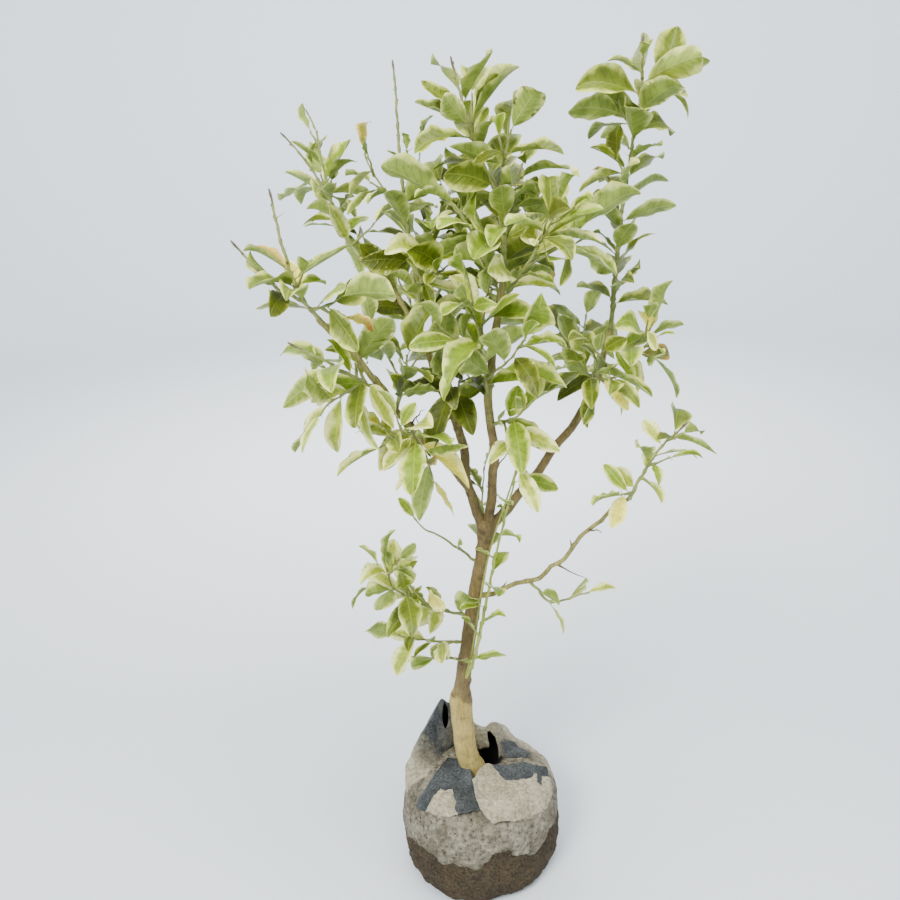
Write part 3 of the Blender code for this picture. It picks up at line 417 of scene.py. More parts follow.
# %% Masses of foliage
# Leaf size, then the shoots: host limb or number of the parent shoot, share along it, way
# points in millimetres, leaves, side twigs, bare share of the tip and seed.
FOLIAGE = {
    "whip_foliage": (1.0, [
        ("left_bough", 1.0, [(-90, 62, 1140), (-100, 68, 1225), (-106, 72, 1310),
         (-111, 80, 1455)], 11, 1, 0.44, 62),
        (0, 0.46, [(-150, 66, 1300), (-160, 70, 1330)], 2, 0, 0.0, 58),
        (0, 0.20, [(-70, 30, 1140), (-60, 4, 1200)], 6, 1, 0.0, 48),
        (0, 0.30, [(-62, 80, 1210), (-36, 84, 1268)], 6, 0, 0.0, 92),
    ]),
    "high_arm_foliage": (0.92, [
        ("left_high_arm", 1.0, [(-210, 120, 1212), (-233, 130, 1275), (-266, 140, 1326),
         (-298, 142, 1362)], 8, 1, 0.36, 38),
        (0, 0.36, [(-236, 128, 1330), (-238, 128, 1362)], 5, 0, 0.0, 37),
        (0, 0.10, [(-158, 136, 1220)], 4, 0, 0.0, 71),
        (0, 0.14, [(-215, 180, 1215), (-232, 206, 1250)], 5, 0, 0.0, 20),
    ]),
    "low_arm_foliage": (0.95, [
        ("left_low_arm", 1.0, [(-248, -120, 1158), (-260, -124, 1224), (-268, -126, 1292)],
         6, 0, 0.56, 3),
        (0, 0.16, [(-275, -130, 1166), (-322, -142, 1229)], 5, 0, 0.46, 14),
        (0, 0.10, [(-206, -122, 1136), (-186, -128, 1150)], 4, 0, 0.0, 74),
    ]),
    "left_mid_foliage": (0.95, [
        ("left_low_arm", 0.62, [(-186, -98, 1030), (-232, -112, 1066), (-268, -104, 1082)],
         6, 1, 0.28, 43),
        (0, 0.22, [(-214, -130, 1000), (-226, -150, 988)], 6, 0, 0.0, 101),
        (0, 0.30, [(-180, -58, 1050), (-196, -30, 1058)], 5, 0, 0.0, 10),
    ]),
    "left_front_foliage": (0.92, [
        ("left_low_arm", 0.40, [(-98, -86, 934), (-92, -128, 934)], 6, 1, 0.0, 2),
        (0, 0.30, [(-128, -112, 932), (-146, -120, 924)], 4, 0, 0.0, 24),
        (0, 0.45, [(-76, -120, 902), (-70, -126, 874)], 4, 0, 0.0, 33),
    ]),
    "left_inner_foliage": (0.92, [
        ("left_bough", 0.56, [(-24, 10, 990), (-18, -14, 1016)], 5, 0, 0.0, 53),
        (0, 0.40, [(-40, -30, 986), (-58, -56, 990)], 5, 0, 0.0, 50),
    ]),
    "left_upper_foliage": (0.92, [
        ("left_low_arm", 0.52, [(-110, -46, 1000), (-104, -30, 1040)], 6, 0, 0.0, 104),
        (0, 0.45, [(-140, -20, 1046), (-160, -2, 1080)], 5, 0, 0.0, 51),
    ]),
    "left_back_foliage": (1.0, [
        ("left_bough", 0.70, [(-80, 100, 1030), (-104, 150, 1080), (-112, 178, 1150)],
         9, 2, 0.0, 15),
        (0, 0.35, [(-50, 150, 1060), (-36, 190, 1082)], 5, 1, 0.0, 54),
    ]),
    "leader_top_foliage": (1.05, [
        ("centre_leader", 1.0, [(45, -30, 1256), (18, -24, 1300), (-2, -20, 1356),
         (-28, -20, 1448)], 17, 2, 0.12, 106),
        (0, 0.40, [(46, -40, 1330), (52, -44, 1356)], 6, 0, 0.0, 8),
        (0, 0.16, [(-2, -50, 1220), (-28, -58, 1262)], 6, 1, 0.0, 96),
        (0, 0.24, [(64, 10, 1262), (76, 36, 1310)], 6, 1, 0.0, 63),
    ]),
    "leader_right_foliage": (1.0, [
        ("centre_leader", 0.92, [(82, -58, 1186), (104, -72, 1230), (116, -80, 1264)],
         8, 1, 0.0, 61),
        (0, 0.40, [(128, -70, 1206), (146, -78, 1230)], 5, 0, 0.0, 53),
    ]),
    "leader_front_foliage": (1.0, [
        ("centre_leader", 0.56, [(12, -54, 1020), (2, -78, 1090), (-10, -90, 1160)],
         9, 1, 0.0, 78),
        (0, 0.22, [(48, -76, 1040), (72, -90, 1078)], 6, 0, 0.0, 49),
        (0, 0.40, [(-30, -84, 1076), (-52, -96, 1096)], 4, 0, 0.0, 64),
    ]),
    "leader_back_foliage": (1.0, [
        ("centre_leader", 0.80, [(40, 40, 1120), (30, 100, 1160), (12, 140, 1220)], 9, 2, 0.0, 3),
        (0, 0.45, [(70, 110, 1170), (90, 140, 1190)], 5, 1, 0.0, 106),
    ]),
    "leader_low_foliage": (0.85, [
        ("centre_leader", 0.46, [(60, -52, 940), (86, -62, 972)], 7, 0, 0.0, 104),
        (0, 0.30, [(52, -70, 900), (62, -92, 872)], 4, 0, 0.0, 37),
    ]),
    "right_top_foliage": (1.08, [
        ("right_bough", 1.0, [(230, 71, 1150), (236, 72, 1245), (242, 62, 1322), (250, 52, 1404),
         (247, 50, 1474)], 27, 0, 0.10, 101),
        (0, 0.72, [(224, 50, 1370), (214, 40, 1392)], 5, 0, 0.0, 14),
        (0, 0.80, [(262, 50, 1396), (272, 48, 1412)], 3, 0, 0.0, 102),
    ]),
    "right_mid_foliage": (0.92, [
        ("right_bough", 0.92, [(252, 44, 1020), (276, 24, 1052), (284, 20, 1072)], 7, 1, 0.0, 45),
        (0, 0.30, [(290, 30, 1010), (308, 22, 1010)], 5, 0, 0.0, 8),
    ]),
    "right_inner_foliage": (0.92, [
        ("right_bough", 0.80, [(186, 12, 986), (160, -12, 1016)], 7, 1, 0.0, 16),
        (0, 0.40, [(204, -18, 990), (226, -36, 1000)], 6, 0, 0.0, 64),
    ]),
    "right_back_foliage": (0.95, [
        ("right_bough", 0.74, [(190, 110, 980), (196, 160, 1010), (206, 188, 1050)],
         9, 2, 0.0, 24),
    ]),
    "low_right_foliage": (0.82, [
        ("low_right_branch", 1.0, [(262, -90, 876), (288, -98, 920), (312, -100, 944)],
         8, 1, 0.10, 24),
        (0, 0.08, [(222, -96, 826)], 3, 0, 0.0, 103),
    ]),
    "low_right_spur_foliage": (0.72, [
        ("low_right_branch", 0.30, [(122, -50, 602), (148, -54, 612), (186, -60, 630)],
         4, 0, 0.0, 20),
    ]),
    "low_left_foliage": (0.90, [
        ("trunk", 0.645, [(-104, -40, 602), (-146, -66, 652), (-156, -78, 716)], 11, 1, 0.0, 106),
        (0, 0.46, [(-150, -20, 640), (-172, -10, 664)], 5, 0, 0.0, 13),
        (0, 0.34, [(-104, -74, 640), (-112, -90, 668)], 4, 0, 0.0, 38),
    ]),
    "low_left_under_foliage": (0.86, [
        ("trunk", 0.545, [(-80, -26, 514), (-124, -50, 540), (-142, -58, 552)], 5, 0, 0.0, 85),
    ]),
    "trunk_low_twig": (0.74, [
        ("trunk", 0.475, [(-72, -20, 474), (-104, -36, 484), (-126, -44, 500)], 3, 0, 0.0, 78),
    ]),
    "trunk_back_foliage": (0.80, [
        ("trunk", 0.80, [(6, 60, 690), (14, 110, 730), (20, 140, 780)], 6, 0, 0.0, 2),
    ]),
    "trunk_left_twig": (0.60, [
        ("trunk", 0.84, [(-50, -20, 712), (-92, -30, 744), (-106, -32, 766)], 2, 0, 0.0, 19),
    ]),
    "green_sucker": (0.70, [
        ("trunk", 0.375, [(-7, -30, 484), (11, -34, 583), (31, -34, 700), (52, -40, 790),
         (68, -46, 870)], 13, 0, 0.0, 89),
    ]),
}
print("foliage:", len(FOLIAGE), "masses,", sum(len(m[1]) for m in FOLIAGE.values()), "main shoots")

# %% Curves and radii
def metres(points):
    """Points of a table given in millimetres."""
    return [tuple(value / 1000 for value in point) for point in points]

def curve_through(way, step):
    """Points about one step apart on a smooth curve through the way points."""
    way = [Vector(point) for point in way]
    line = [2 * way[0] - way[1]] + way + [2 * way[-1] - way[-2]]
    points = [way[0]]
    for before, start, stop, after in zip(line, line[1:], line[2:], line[3:]):
        spans = max(1, round((stop - start).length / step))
        for index in range(1, spans + 1):
            t = index / spans
            linear = (stop - before) * t
            square = (2 * before - 5 * start + 4 * stop - after) * t ** 2
            cube = (3 * start - before - 3 * stop + after) * t ** 3
            points.append(start + 0.5 * (linear + square + cube))
    return points

class Stem:
    """The axis of a trunk, bough or shoot, with its radius at each point."""

    def __init__(self, way, step, radius_at):
        self.points = curve_through(way, step)
        lengths = [(b - a).length for a, b in zip(self.points, self.points[1:])]
        total = sum(lengths)
        self.length = total
        self.shares = [sum(lengths[:index]) / total for index in range(len(self.points))]
        self.radii = [radius_at(share, point) for share, point in zip(self.shares, self.points)]

    def at(self, share):
        """Point, direction and radius at a share of the length."""
        index = 0
        while index < len(self.points) - 2 and self.shares[index + 1] < share:
            index += 1
        start, stop = self.points[index], self.points[index + 1]
        span = self.shares[index + 1] - self.shares[index]
        t = (share - self.shares[index]) / span
        radius = self.radii[index] + (self.radii[index + 1] - self.radii[index]) * t
        return start.lerp(stop, t), (stop - start).normalized(), radius

def taper(start, end):
    """Radius that runs evenly from the start to the end of a stem."""
    return lambda share, point: start + (end - start) * share

def bell(z, swelling):
    """Height of a rounded swelling at height z."""
    size, middle, spread = swelling
    return size * math.exp(-((z - middle) / spread) ** 2)

def trunk_radius(share, point):
    """Rootstock below the graft, slimmer scion above it, with the flare and the swellings."""
    z = point.z
    above = 1 / (1 + math.exp(-(z - GRAFT_HEIGHT) / (GRAFT_BLEND / 2)))
    rise = (z - GRAFT_HEIGHT) / (TRUNK_TOP - GRAFT_HEIGHT)
    scion = SCION_RADIUS + (SCION_TOP_RADIUS - SCION_RADIUS) * max(0.0, rise)
    flare = ROOT_FLARE * math.exp(-(z - TRUNK_FOOT) / ROOT_FLARE_HEIGHT)
    base = ROOTSTOCK_RADIUS * (1 - above) + scion * above
    return base + flare + bell(z, GRAFT_SWELLING) + bell(z, FORK_SWELLING)

# %% Rings round a curved axis
def frames_along(points):
    """Tangent, side and other side at each point of an axis, without twist."""
    directions = [(b - a).normalized() for a, b in zip(points, points[1:])]
    turns = [(a + b).normalized() for a, b in zip(directions, directions[1:])]
    side = directions[0].orthogonal().normalized()
    frames = []
    for tangent in directions[:1] + turns + directions[-1:]:
        side = (side - tangent * side.dot(tangent)).normalized()
        frames.append((tangent, side, tangent.cross(side)))
    return frames

def spokes(axes, sides):
    """Directions at even steps round an axis."""
    _, side, other = axes
    return [side * math.cos(turn) + other * math.sin(turn) for turn in circle(sides)]

def tube_faces(rings, sides, first=0):
    """Quads of a tube, with both ends closed by a fan to the last two points."""
    faces = list(ring_quads(rings, sides, first))
    start, last = first + rings * sides, first + (rings - 1) * sides
    for index in range(sides):
        nxt = (index + 1) % sides
        faces += [(start, first + nxt, first + index), (start + 1, last + index, last + nxt)]
    return faces

# %% Coarse tube and leaf, which test whether a place is free
def sweep(stem, sides, grow=0.0):
    """Vertices and faces of a closed tube round a stem, made larger by grow."""
    frames = frames_along(stem.points)
    points = list(stem.points)
    points[0] = points[0] - frames[0][0] * grow
    points[-1] = points[-1] + frames[-1][0] * grow
    verts = []
    for point, radius, axes in zip(points, stem.radii, frames):
        verts += [point + (radius + grow) * out for out in spokes(axes, sides)]
    faces = []
    for a, b, c, d in ring_quads(len(points), sides):
        faces += [(a, b, c), (a, c, d)]
    last = (len(points) - 1) * sides
    return verts, faces + [tuple(reversed(range(sides))), tuple(range(last, last + sides))]

def leaf(root, heading, face, length, droop, grow=0.0):
    """Vertices and faces of one leaf: a root sunk in its twig, a folded blade and a tip.

    The blade is widest at two fifths, its rim is raised on both sides of the midrib and
    its tip sinks by the droop.
    """
    width = LEAF_WIDTH_SHARE * length + 2 * grow
    thickness = LEAF_THICKNESS_SHARE * length + 2 * grow
    across = heading.cross(face).normalized()
    verts = [root - heading * grow]
    for share, wide in LEAF_SECTIONS:
        middle = root + heading * (length * share) - UP * (droop * length * share ** 2)
        along = (heading - UP * (2 * droop * share)).normalized()
        normal = across.cross(along).normalized()
        half = 0.5 * width * wide
        rim = normal * (LEAF_FOLD * half + 0.5 * thickness)
        verts.append(middle - normal * (0.5 * thickness))
        verts.append(middle - across * half + rim)
        verts.append(middle + across * half + rim)
    verts.append(root + heading * (length + grow) - UP * (droop * length))
    faces = [(0, 2, 3), (0, 1, 2), (0, 3, 1)]
    faces += [(1, 4, 2), (2, 4, 5), (2, 5, 3), (3, 5, 6), (3, 6, 1), (1, 6, 4)]
    faces += [(4, 7, 5), (5, 7, 6), (6, 7, 4)]
    return verts, faces

def box_of(verts):
    """Lowest and highest corner of some points."""
    return [Vector([pick(v[axis] for v in verts) for axis in range(3)]) for pick in (min, max)]

class Space:
    """The solids placed so far, kept so that new ones can stay clear of them."""

    def __init__(self):
        self.kept = []

    def keep(self, shape, owner):
        """Remember a shape and whose it is."""
        self.kept.append((*box_of(shape[0]), BVHTree.FromPolygons(*shape), owner))

    def free(self, shape, ignored):
        """Whether a shape is in the crown's space and crosses none but the ignored owners."""
        low, high = box_of(shape[0])
        if any(low[a] < CROWN_LOW[a] or high[a] > CROWN_HIGH[a] for a in range(3)):
            return False
        near = [tree for kept_low, kept_high, tree, owner in self.kept if owner not in ignored
                and not any(high[a] < kept_low[a] or low[a] > kept_high[a] for a in range(3))]
        tree = BVHTree.FromPolygons(*shape) if near else None
        return not any(tree.overlap(other) for other in near)

def side_direction(axis, turn):
    """A direction square to the axis, turned round it from the level one."""
    level = UP.cross(axis)
    if level.length < 0.1:
        level = Vector((1.0, 0.0, 0.0))
    level = (level - axis * level.dot(axis)).normalized()
    return level * math.cos(turn) + axis.cross(level) * math.sin(turn)

# %% Leaves set round a shoot
def grow_leaves(shoot, owner, count, bare, size, rng, space):
    """Root, heading, face, length and droop of each leaf, turned aside from what it meets."""
    placed = []
    turn = rng.uniform(0, 2 * math.pi)
    for index in range(count):
        turn += LEAF_TURN + rng.uniform(-LEAF_TURN_SPREAD, LEAF_TURN_SPREAD)
        at_tip = index == count - 1 and bare == 0
        step = LAST_LEAF_AT if at_tip else (index + rng.uniform(*LEAF_STEP)) / count
        lean = math.radians(rng.uniform(*(LEAF_LEAN_AT_TIP if at_tip else LEAF_LEAN)))
        length = LEAF_LENGTH * size * rng.uniform(*LEAF_LENGTH_SPREAD)
        droop = rng.uniform(*LEAF_DROOP)
        tilt = Vector([rng.uniform(-LEAF_TILT, LEAF_TILT) for _ in range(3)])
        point, axis, radius = shoot.at(LEAF_START + (1 - LEAF_START - bare) * step)
        for aside in LEAF_TRIES:
            out = side_direction(axis, turn + math.radians(aside))
            heading = (axis * math.cos(lean) + out * math.sin(lean)).normalized()
            face = UP * LEAF_FACE_UP + axis * LEAF_FACE_AHEAD + tilt
            face = (face - heading * face.dot(heading)).normalized()
            root = point - heading * (0.5 * radius)
            grown = leaf(root, heading, face, length, droop, LEAF_MARGIN)
            if space.free(grown, {owner}):
                shape = leaf(root, heading, face, length, droop)
                space.keep(shape, (owner, "leaf", len(space.kept)))
                placed.append((owner, root, heading, face, length, droop))
                break
    return placed

# %% Main shoots, laid before any leaf grows
def lay_shoots(name, stems, space):
    """The main shoots of one mass, each on its host limb or on another shoot of the mass."""
    shoots = []
    for number, (parent, share, way, *_) in enumerate(FOLIAGE[name][1]):
        on_limb = parent in stems
        start, axis, radius = (stems[parent] if on_limb else shoots[parent]).at(share)
        if on_limb and share == 1.0:
            start = start - axis * radius
        thick = SHOOT_RADIUS if on_limb else TWIG_RADIUS
        shoot = Stem([start] + metres(way), SHOOT_STEP, taper(thick, TIP_RADIUS))
        shoots.append(shoot)
        space.keep(sweep(shoot, TWIG_SIDES), f"{name} {number}")
    return shoots

# %% A side twig
def grow_twig(shoot, owner, place, length, rng, space):
    """One side twig on a shoot, turned aside from what it meets, or nothing."""
    turn = rng.uniform(0, 2 * math.pi)
    reach = length * rng.uniform(*SIDE_TWIG_LENGTH_SPREAD)
    lean = math.radians(rng.uniform(*SIDE_TWIG_LEAN))
    start, axis, _ = shoot.at(place)
    for aside in LEAF_TRIES:
        out = side_direction(axis, turn + math.radians(aside))
        heading = axis * math.cos(lean) + out * math.sin(lean)
        middle = start + heading * (0.5 * reach)
        tip = start + heading * reach + UP * (SIDE_TWIG_RISE * reach)
        twig = Stem([start, middle, tip], SHOOT_STEP, taper(TWIG_RADIUS, TIP_RADIUS))
        if space.free(sweep(twig, TWIG_SIDES, LEAF_MARGIN), {owner}):
            return twig
    return None

# %% Side twigs with their leaves: name, places, slack of the steps, length and leaves
TWIG_HABIT = ("twig", *SIDE_TWIG_PLACES, 0.2, SIDE_TWIG_LENGTH, SIDE_TWIG_LEAVES)

def grow_twigs(shoot, owner, count, habit, size, rng, space):
    """Side twigs at uneven steps along a shoot, with the leaves that they carry."""
    kind, first, last, slack, length, leaf_count = habit
    twigs, leaves = [], []
    for index in range(count):
        place = first + (last - first) * (index + rng.uniform(slack, 1 - slack)) / count
        twig = grow_twig(shoot, owner, place, length, rng, space)
        if twig:
            twig_owner = f"{owner} {kind} {index}"
            space.keep(sweep(twig, TWIG_SIDES), twig_owner)
            grown = grow_leaves(twig, twig_owner, leaf_count, 0.0, size, rng, space)
            if grown or habit == TWIG_HABIT:
                twigs.append((twig, twig_owner))
            leaves += grown
    return twigs, leaves

# %% Grow the whole tree as the solids have it
space = Space()
stems = {"trunk": Stem(TRUNK_WAY, TRUNK_STEP, trunk_radius)}
space.keep(sweep(stems["trunk"], TRUNK_SIDES), "trunk")
for limb, (way, thick, thin) in BOUGHS.items():
    stems[limb] = Stem(metres(way), BOUGH_STEP, taper(thick, thin))
    space.keep(sweep(stems[limb], BOUGH_SIDES), limb)

main_shoots = {name: lay_shoots(name, stems, space) for name in FOLIAGE}
twigs_of, leaves_of = {}, {}
for name, shoots in main_shoots.items():
    size, rows = FOLIAGE[name]
    twigs_of[name], leaves_of[name] = [], []
    for number, (shoot, row) in enumerate(zip(shoots, rows)):
        owner, rng = f"{name} {number}", random.Random(row[6])
        leaves = grow_leaves(shoot, owner, row[3], row[5], size, rng, space)
        twigs, more = grow_twigs(shoot, owner, row[4], TWIG_HABIT, size, rng, space)
        twigs_of[name] += [(shoot, owner)] + twigs
        leaves_of[name] += leaves + more

def bare_share(name, owner):
    """Share of a shoot that is bare at its tip; only main shoots have one."""
    main = "twig" not in owner and "sprig" not in owner
    return FOLIAGE[name][1][int(owner.split()[1])][5] if main else 0.0

def count_grown():
    """How much has grown so far."""
    return (f"{sum(map(len, twigs_of.values()))} shoots and twigs, "
            f"{sum(map(len, leaves_of.values()))} leaves")

print("grown:", count_grown())

# %% [markdown]
# ## Finer twigs
# The solids stop at a count of leaves that keeps them light. The real shoots carry more: short
# sprigs with two or three smaller leaves sit in the gaps between the large ones. They come from
# the same rule, one step finer, and they stay inside the box of the solids.

# %% Sprigs on every shoot
SPRIG_SPACING = 0.066
SPRIG_LENGTH = 0.030
SPRIG_LEAVES = 2
NO_SPRIGS = ("green_sucker", "trunk_low_twig", "low_right_spur_foliage", "trunk_left_twig")
SPRIG_LEAF_SIZE = 0.62
SPRIG_SEED = 500
SPRIG_PLACES = (0.12, 0.92)

first, last = SPRIG_PLACES
for index, name in enumerate(FOLIAGE):
    rng = random.Random(SPRIG_SEED + index)
    size = FOLIAGE[name][0] * SPRIG_LEAF_SIZE
    for shoot, owner in list(twigs_of[name]) if name not in NO_SPRIGS else []:
        bare = bare_share(name, owner)
        count = round(shoot.length * (1 - bare) / SPRIG_SPACING)
        habit = ("sprig", first, min(last, 1 - bare), 0.1, SPRIG_LENGTH, SPRIG_LEAVES)
        sprigs, leaves = grow_twigs(shoot, owner, count, habit, size, rng, space)
        twigs_of[name] += sprigs
        leaves_of[name] += leaves
print("with sprigs:", count_grown())

# %% [markdown]
# ## Wood
# The trunk has two woods: a thick tan rootstock, and above a slanting graft shoulder the slimmer
# brown scion, with ring scars where old leaves sat and a swollen fork with one pruning scar.
# A curve with a bevel would give an even pipe, so each limb is swept as a mesh instead: rings a
# few millimetres apart, each point pushed in or out by noise that is stretched along the grain.

# %% Numbers of the wood
BARK_STEP = 0.0035
TRUNK_RING = 52
BOUGH_RING = 30
BARK_GRAIN = (110.0, 22.0)
BARK_RELIEF = 0.0015
BARK_PITS = 0.0007
SCAR_SPACING = (0.016, 0.040)
SCAR_HEIGHT = 0.0008
KNOT_SPACING = (0.020, 0.050)
KNOT_HEIGHT = (0.0010, 0.0030)
KNOT_WIDTH = (0.0030, 0.0070)
KNOT_DARKNESS = (0.2, 0.7)
STUB_SHARE = 0.45
STUB_LENGTH = (0.004, 0.015)
DEAD_TWIG_SHARE = 0.42
DEAD_TWIG_LENGTH = (0.026, 0.056)
JOG_STEP = (0.026, 0.052)
SCAR_WIDTH = 0.0022
COLLAR = 0.34
COLLAR_REACH = 0.022
FOOT_FLARE = 0.0050
GRAFT_SLANT = 0.9
SCAR_SIZE = (0.3, 1.2)
SCAR_SLANT = 0.0012
JOG_SCAR = 1.3
JOG_SCAR_FROM = 0.002
PIT_SCALE = 3.1
FOOT_CAP = 0.0005
TIP_CAP = 0.4
DEAD_TWIG_PLACES = (0.15, 0.85)

# %% A mesh with painted numbers
def paint_numbers(mesh, numbers):
    """Keep named numbers on the points of a mesh."""
    for key, values in numbers.items():
        mesh.attributes.new(key, "FLOAT", "POINT").data.foreach_set("value", values)

def add_piece(name, verts, faces, **numbers):
    """A smooth mesh object with named numbers on its points."""
    mesh = bpy.data.meshes.new(name)
    mesh.from_pydata(verts, [], faces)
    paint_numbers(mesh, numbers)
    mesh.shade_smooth()
    return link_object(name, mesh)

def finish_piece(piece, nodes, materials):
    """Ride, replaced nodes and materials of a piece in one place."""
    for material in materials:
        piece.data.materials.append(material)
    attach(piece, "root")
    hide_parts(*nodes)

def add_tube(store, line, radii, sides, ends=(0.0, 0.0), **numbers):
    """Adds a closed tube to a store of points and faces, with numbers for each ring."""
    frames = frames_along(line)
    store["faces"] += tube_faces(len(line), sides, len(store["verts"]))
    for point, radius, axes in zip(line, radii, frames):
        store["verts"] += [point + out * radius for out in spokes(axes, sides)]
    store["verts"] += [line[0] - frames[0][0] * ends[0], line[-1] + frames[-1][0] * ends[1]]
    for key, values in numbers.items():
        store[key] += [value for value in values for _ in range(sides)] + [values[0], values[-1]]

def looked_up(rows, place, ease=lambda t: t):
    """Values at a place among rows that start with their place."""
    for low, high in zip(rows, rows[1:]):
        if place <= high[0]:
            t = ease((place - low[0]) / (high[0] - low[0]))
            return [a + (b - a) * t for a, b in zip(low[1:], high[1:])]
    return list(rows[-1][1:])

# %% A limb with its bark
def steps_along(length, spacing, rng):
    """Places along a length at uneven steps."""
    places = []
    reach = rng.uniform(*spacing)
    while reach < length:
        places.append(reach)
        reach += rng.uniform(*spacing)
    return places

def jogs_along(length, size, rng):
    """Corners of the zigzag of a limb: reach, then the offsets to its two sides."""
    corners = [(0.0, 0.0, 0.0)]
    for count, reach in enumerate(steps_along(length - JOG_STEP[0], JOG_STEP, rng)):
        sign = 1 if count % 2 else -1
        corners.append((reach, sign * size * rng.uniform(0.5, 1.2), size * rng.uniform(-0.8, 0.8)))
    return corners + [(length, 0.0, 0.0)]

def index_at(stem, reach):
    """Index of the ring nearest a reach along a stem of even rings."""
    last = len(stem.points) - 1
    return min(last, round(reach / stem.length * last))

def knots_along(stem, frames, size, marks, rng):
    """Knots of a limb as reach, direction, height, width and darkness; marks come last."""
    knots = []
    for reach in steps_along(stem.length, KNOT_SPACING, rng):
        _, side, other = frames[index_at(stem, reach)]
        turn = rng.uniform(0, 2 * math.pi)
        out = side * math.cos(turn) + other * math.sin(turn)
        knots.append((reach, out, rng.uniform(*KNOT_HEIGHT) * size, rng.uniform(*KNOT_WIDTH),
                      rng.uniform(*KNOT_DARKNESS)))
    for height, out, *look in marks:
        index = min(range(len(frames)), key=lambda k: abs(stem.points[k].z - height))
        knots.append((stem.shares[index] * stem.length, Vector(out).normalized(), *look))
    return knots

def scar_at(scars, along, turn):
    """How much the ring scars swell a place of the bark."""
    ring = 0.0
    for middle, size, tilt in scars:
        lit = math.cos(turn - tilt)
        off = along - middle - SCAR_SLANT * lit
        ring += size * math.exp(-(off / SCAR_WIDTH) ** 2) * (0.5 + 0.5 * lit)
    return ring

def knots_at(knots, along, out, radius):
    """How far the knots push a place of the bark out, and how dark they make it."""
    bulge, dark = 0.0, 0.0
    for middle, heading, size, width, darkness in knots:
        apart = (1 - out.dot(heading)) * radius * 2
        swell = math.exp(-((along - middle) ** 2 + apart ** 2) / width ** 2)
        bulge += size * swell
        dark += darkness * smoothstep(0.3, 0.9, swell)
    return bulge, dark

def bark_limb(name, way, radius_at, sides, ages, collar, knot_size=1.0, jog=0.0, marks=()):
    """A limb swept along its axis, with grain, pits, ring scars and a collar at its host."""
    stem = Stem(way, BARK_STEP, radius_at)
    rng = random.Random(name)
    scars = [(reach, rng.uniform(*SCAR_SIZE), rng.uniform(0, 2 * math.pi))
             for reach in steps_along(stem.length, SCAR_SPACING, rng)]
    frames = frames_along(stem.points)
    knots = knots_along(stem, frames, knot_size, marks, rng)
    corners = jogs_along(stem.length, jog, rng)
    scars += [(reach, JOG_SCAR, 0.0) for reach, *_ in corners[1:-1] if jog > JOG_SCAR_FROM]
    limb = {"verts": [], "faces": tube_faces(len(stem.points), sides), "age": [], "scar": []}
    for point, share, radius, axes in zip(stem.points, stem.shares, stem.radii, frames):
        _, side, other = axes
        along = share * stem.length
        aside, beside = looked_up(corners, along)
        middle = point + side * aside + other * beside
        radius *= 1 + collar * math.exp(-(along / COLLAR_REACH) ** 2)
        age = ages[0] + (ages[1] - ages[0]) * share
        for turn, out in zip(circle(sides), spokes(axes, sides)):
            spot = Vector((out.dot(side) * radius * BARK_GRAIN[0],
                           out.dot(other) * radius * BARK_GRAIN[0], along * BARK_GRAIN[1]))
            push = BARK_RELIEF * age * noise.fractal(spot, 0.8, 2.1, 4)
            push -= BARK_PITS * abs(noise.noise(spot * PIT_SCALE))
            ring = scar_at(scars, along, turn)
            bulge, dark = knots_at(knots, along, out, radius)
            limb["verts"].append(middle + out * (radius + push + SCAR_HEIGHT * ring * age + bulge))
            limb["age"].append(age)
            limb["scar"].append(min(1.0, 0.5 * ring + dark))
    start, end = frames[0][0], frames[-1][0]
    limb["verts"] += [stem.points[0] - start * FOOT_CAP,
                      stem.points[-1] + end * (TIP_CAP * stem.radii[-1])]
    limb["age"] += limb["age"][:1] + limb["age"][-1:]
    limb["scar"] += [0.0, 0.0]
    low, high = DEAD_TWIG_PLACES
    for reach, out, *_ in knots:
        if rng.random() < STUB_SHARE:
            index = index_at(stem, reach)
            way_out = (out + frames[index][0] * rng.uniform(0.2, 0.9)).normalized()
            base = stem.points[index] + out * (0.8 * stem.radii[index])
            length = rng.uniform(*STUB_LENGTH)
            if low < stem.shares[index] < high and rng.random() < DEAD_TWIG_SHARE * (jog > 0):
                length = rng.uniform(*DEAD_TWIG_LENGTH)
            add_stub(limb, base, way_out, length, rng)
    return add_piece(name, **limb)

# %% A dead stub or twig, as left by a pruned or fallen shoot
STUB_SIDES = 7
STUB_RADII = [0.0022, 0.0013, 0.0011, 0.0008, 0.0005]
STUB_BEND = 0.45

def add_stub(limb, base, way_out, length, rng):
    """Adds a thin dead twig to a limb, bent at each joint."""
    points = [base]
    count = len(STUB_RADII)
    for _ in STUB_RADII[1:]:
        bend = Vector([rng.uniform(-STUB_BEND, STUB_BEND) for _ in range(3)])
        points.append(points[-1] + (way_out + bend).normalized() * (length / (count - 1)))
    add_tube(limb, points, STUB_RADII, STUB_SIDES, age=[1.0] * count, scar=[0.9] * count)

# %% Bark materials: tan rootstock, brown scion, olive young wood
WOOD_TINTS = {
    "rootstock": ("b39c5b", "a3914d", "8b794c"),
    "scion": ("7f6c44", "6b5b39", "948759"),
    "young_wood": ("959050", "7a7440", "bdb67e"),
}
SCAR_TINT = "4a3a2a"
STREAK_SHARE = 0.55

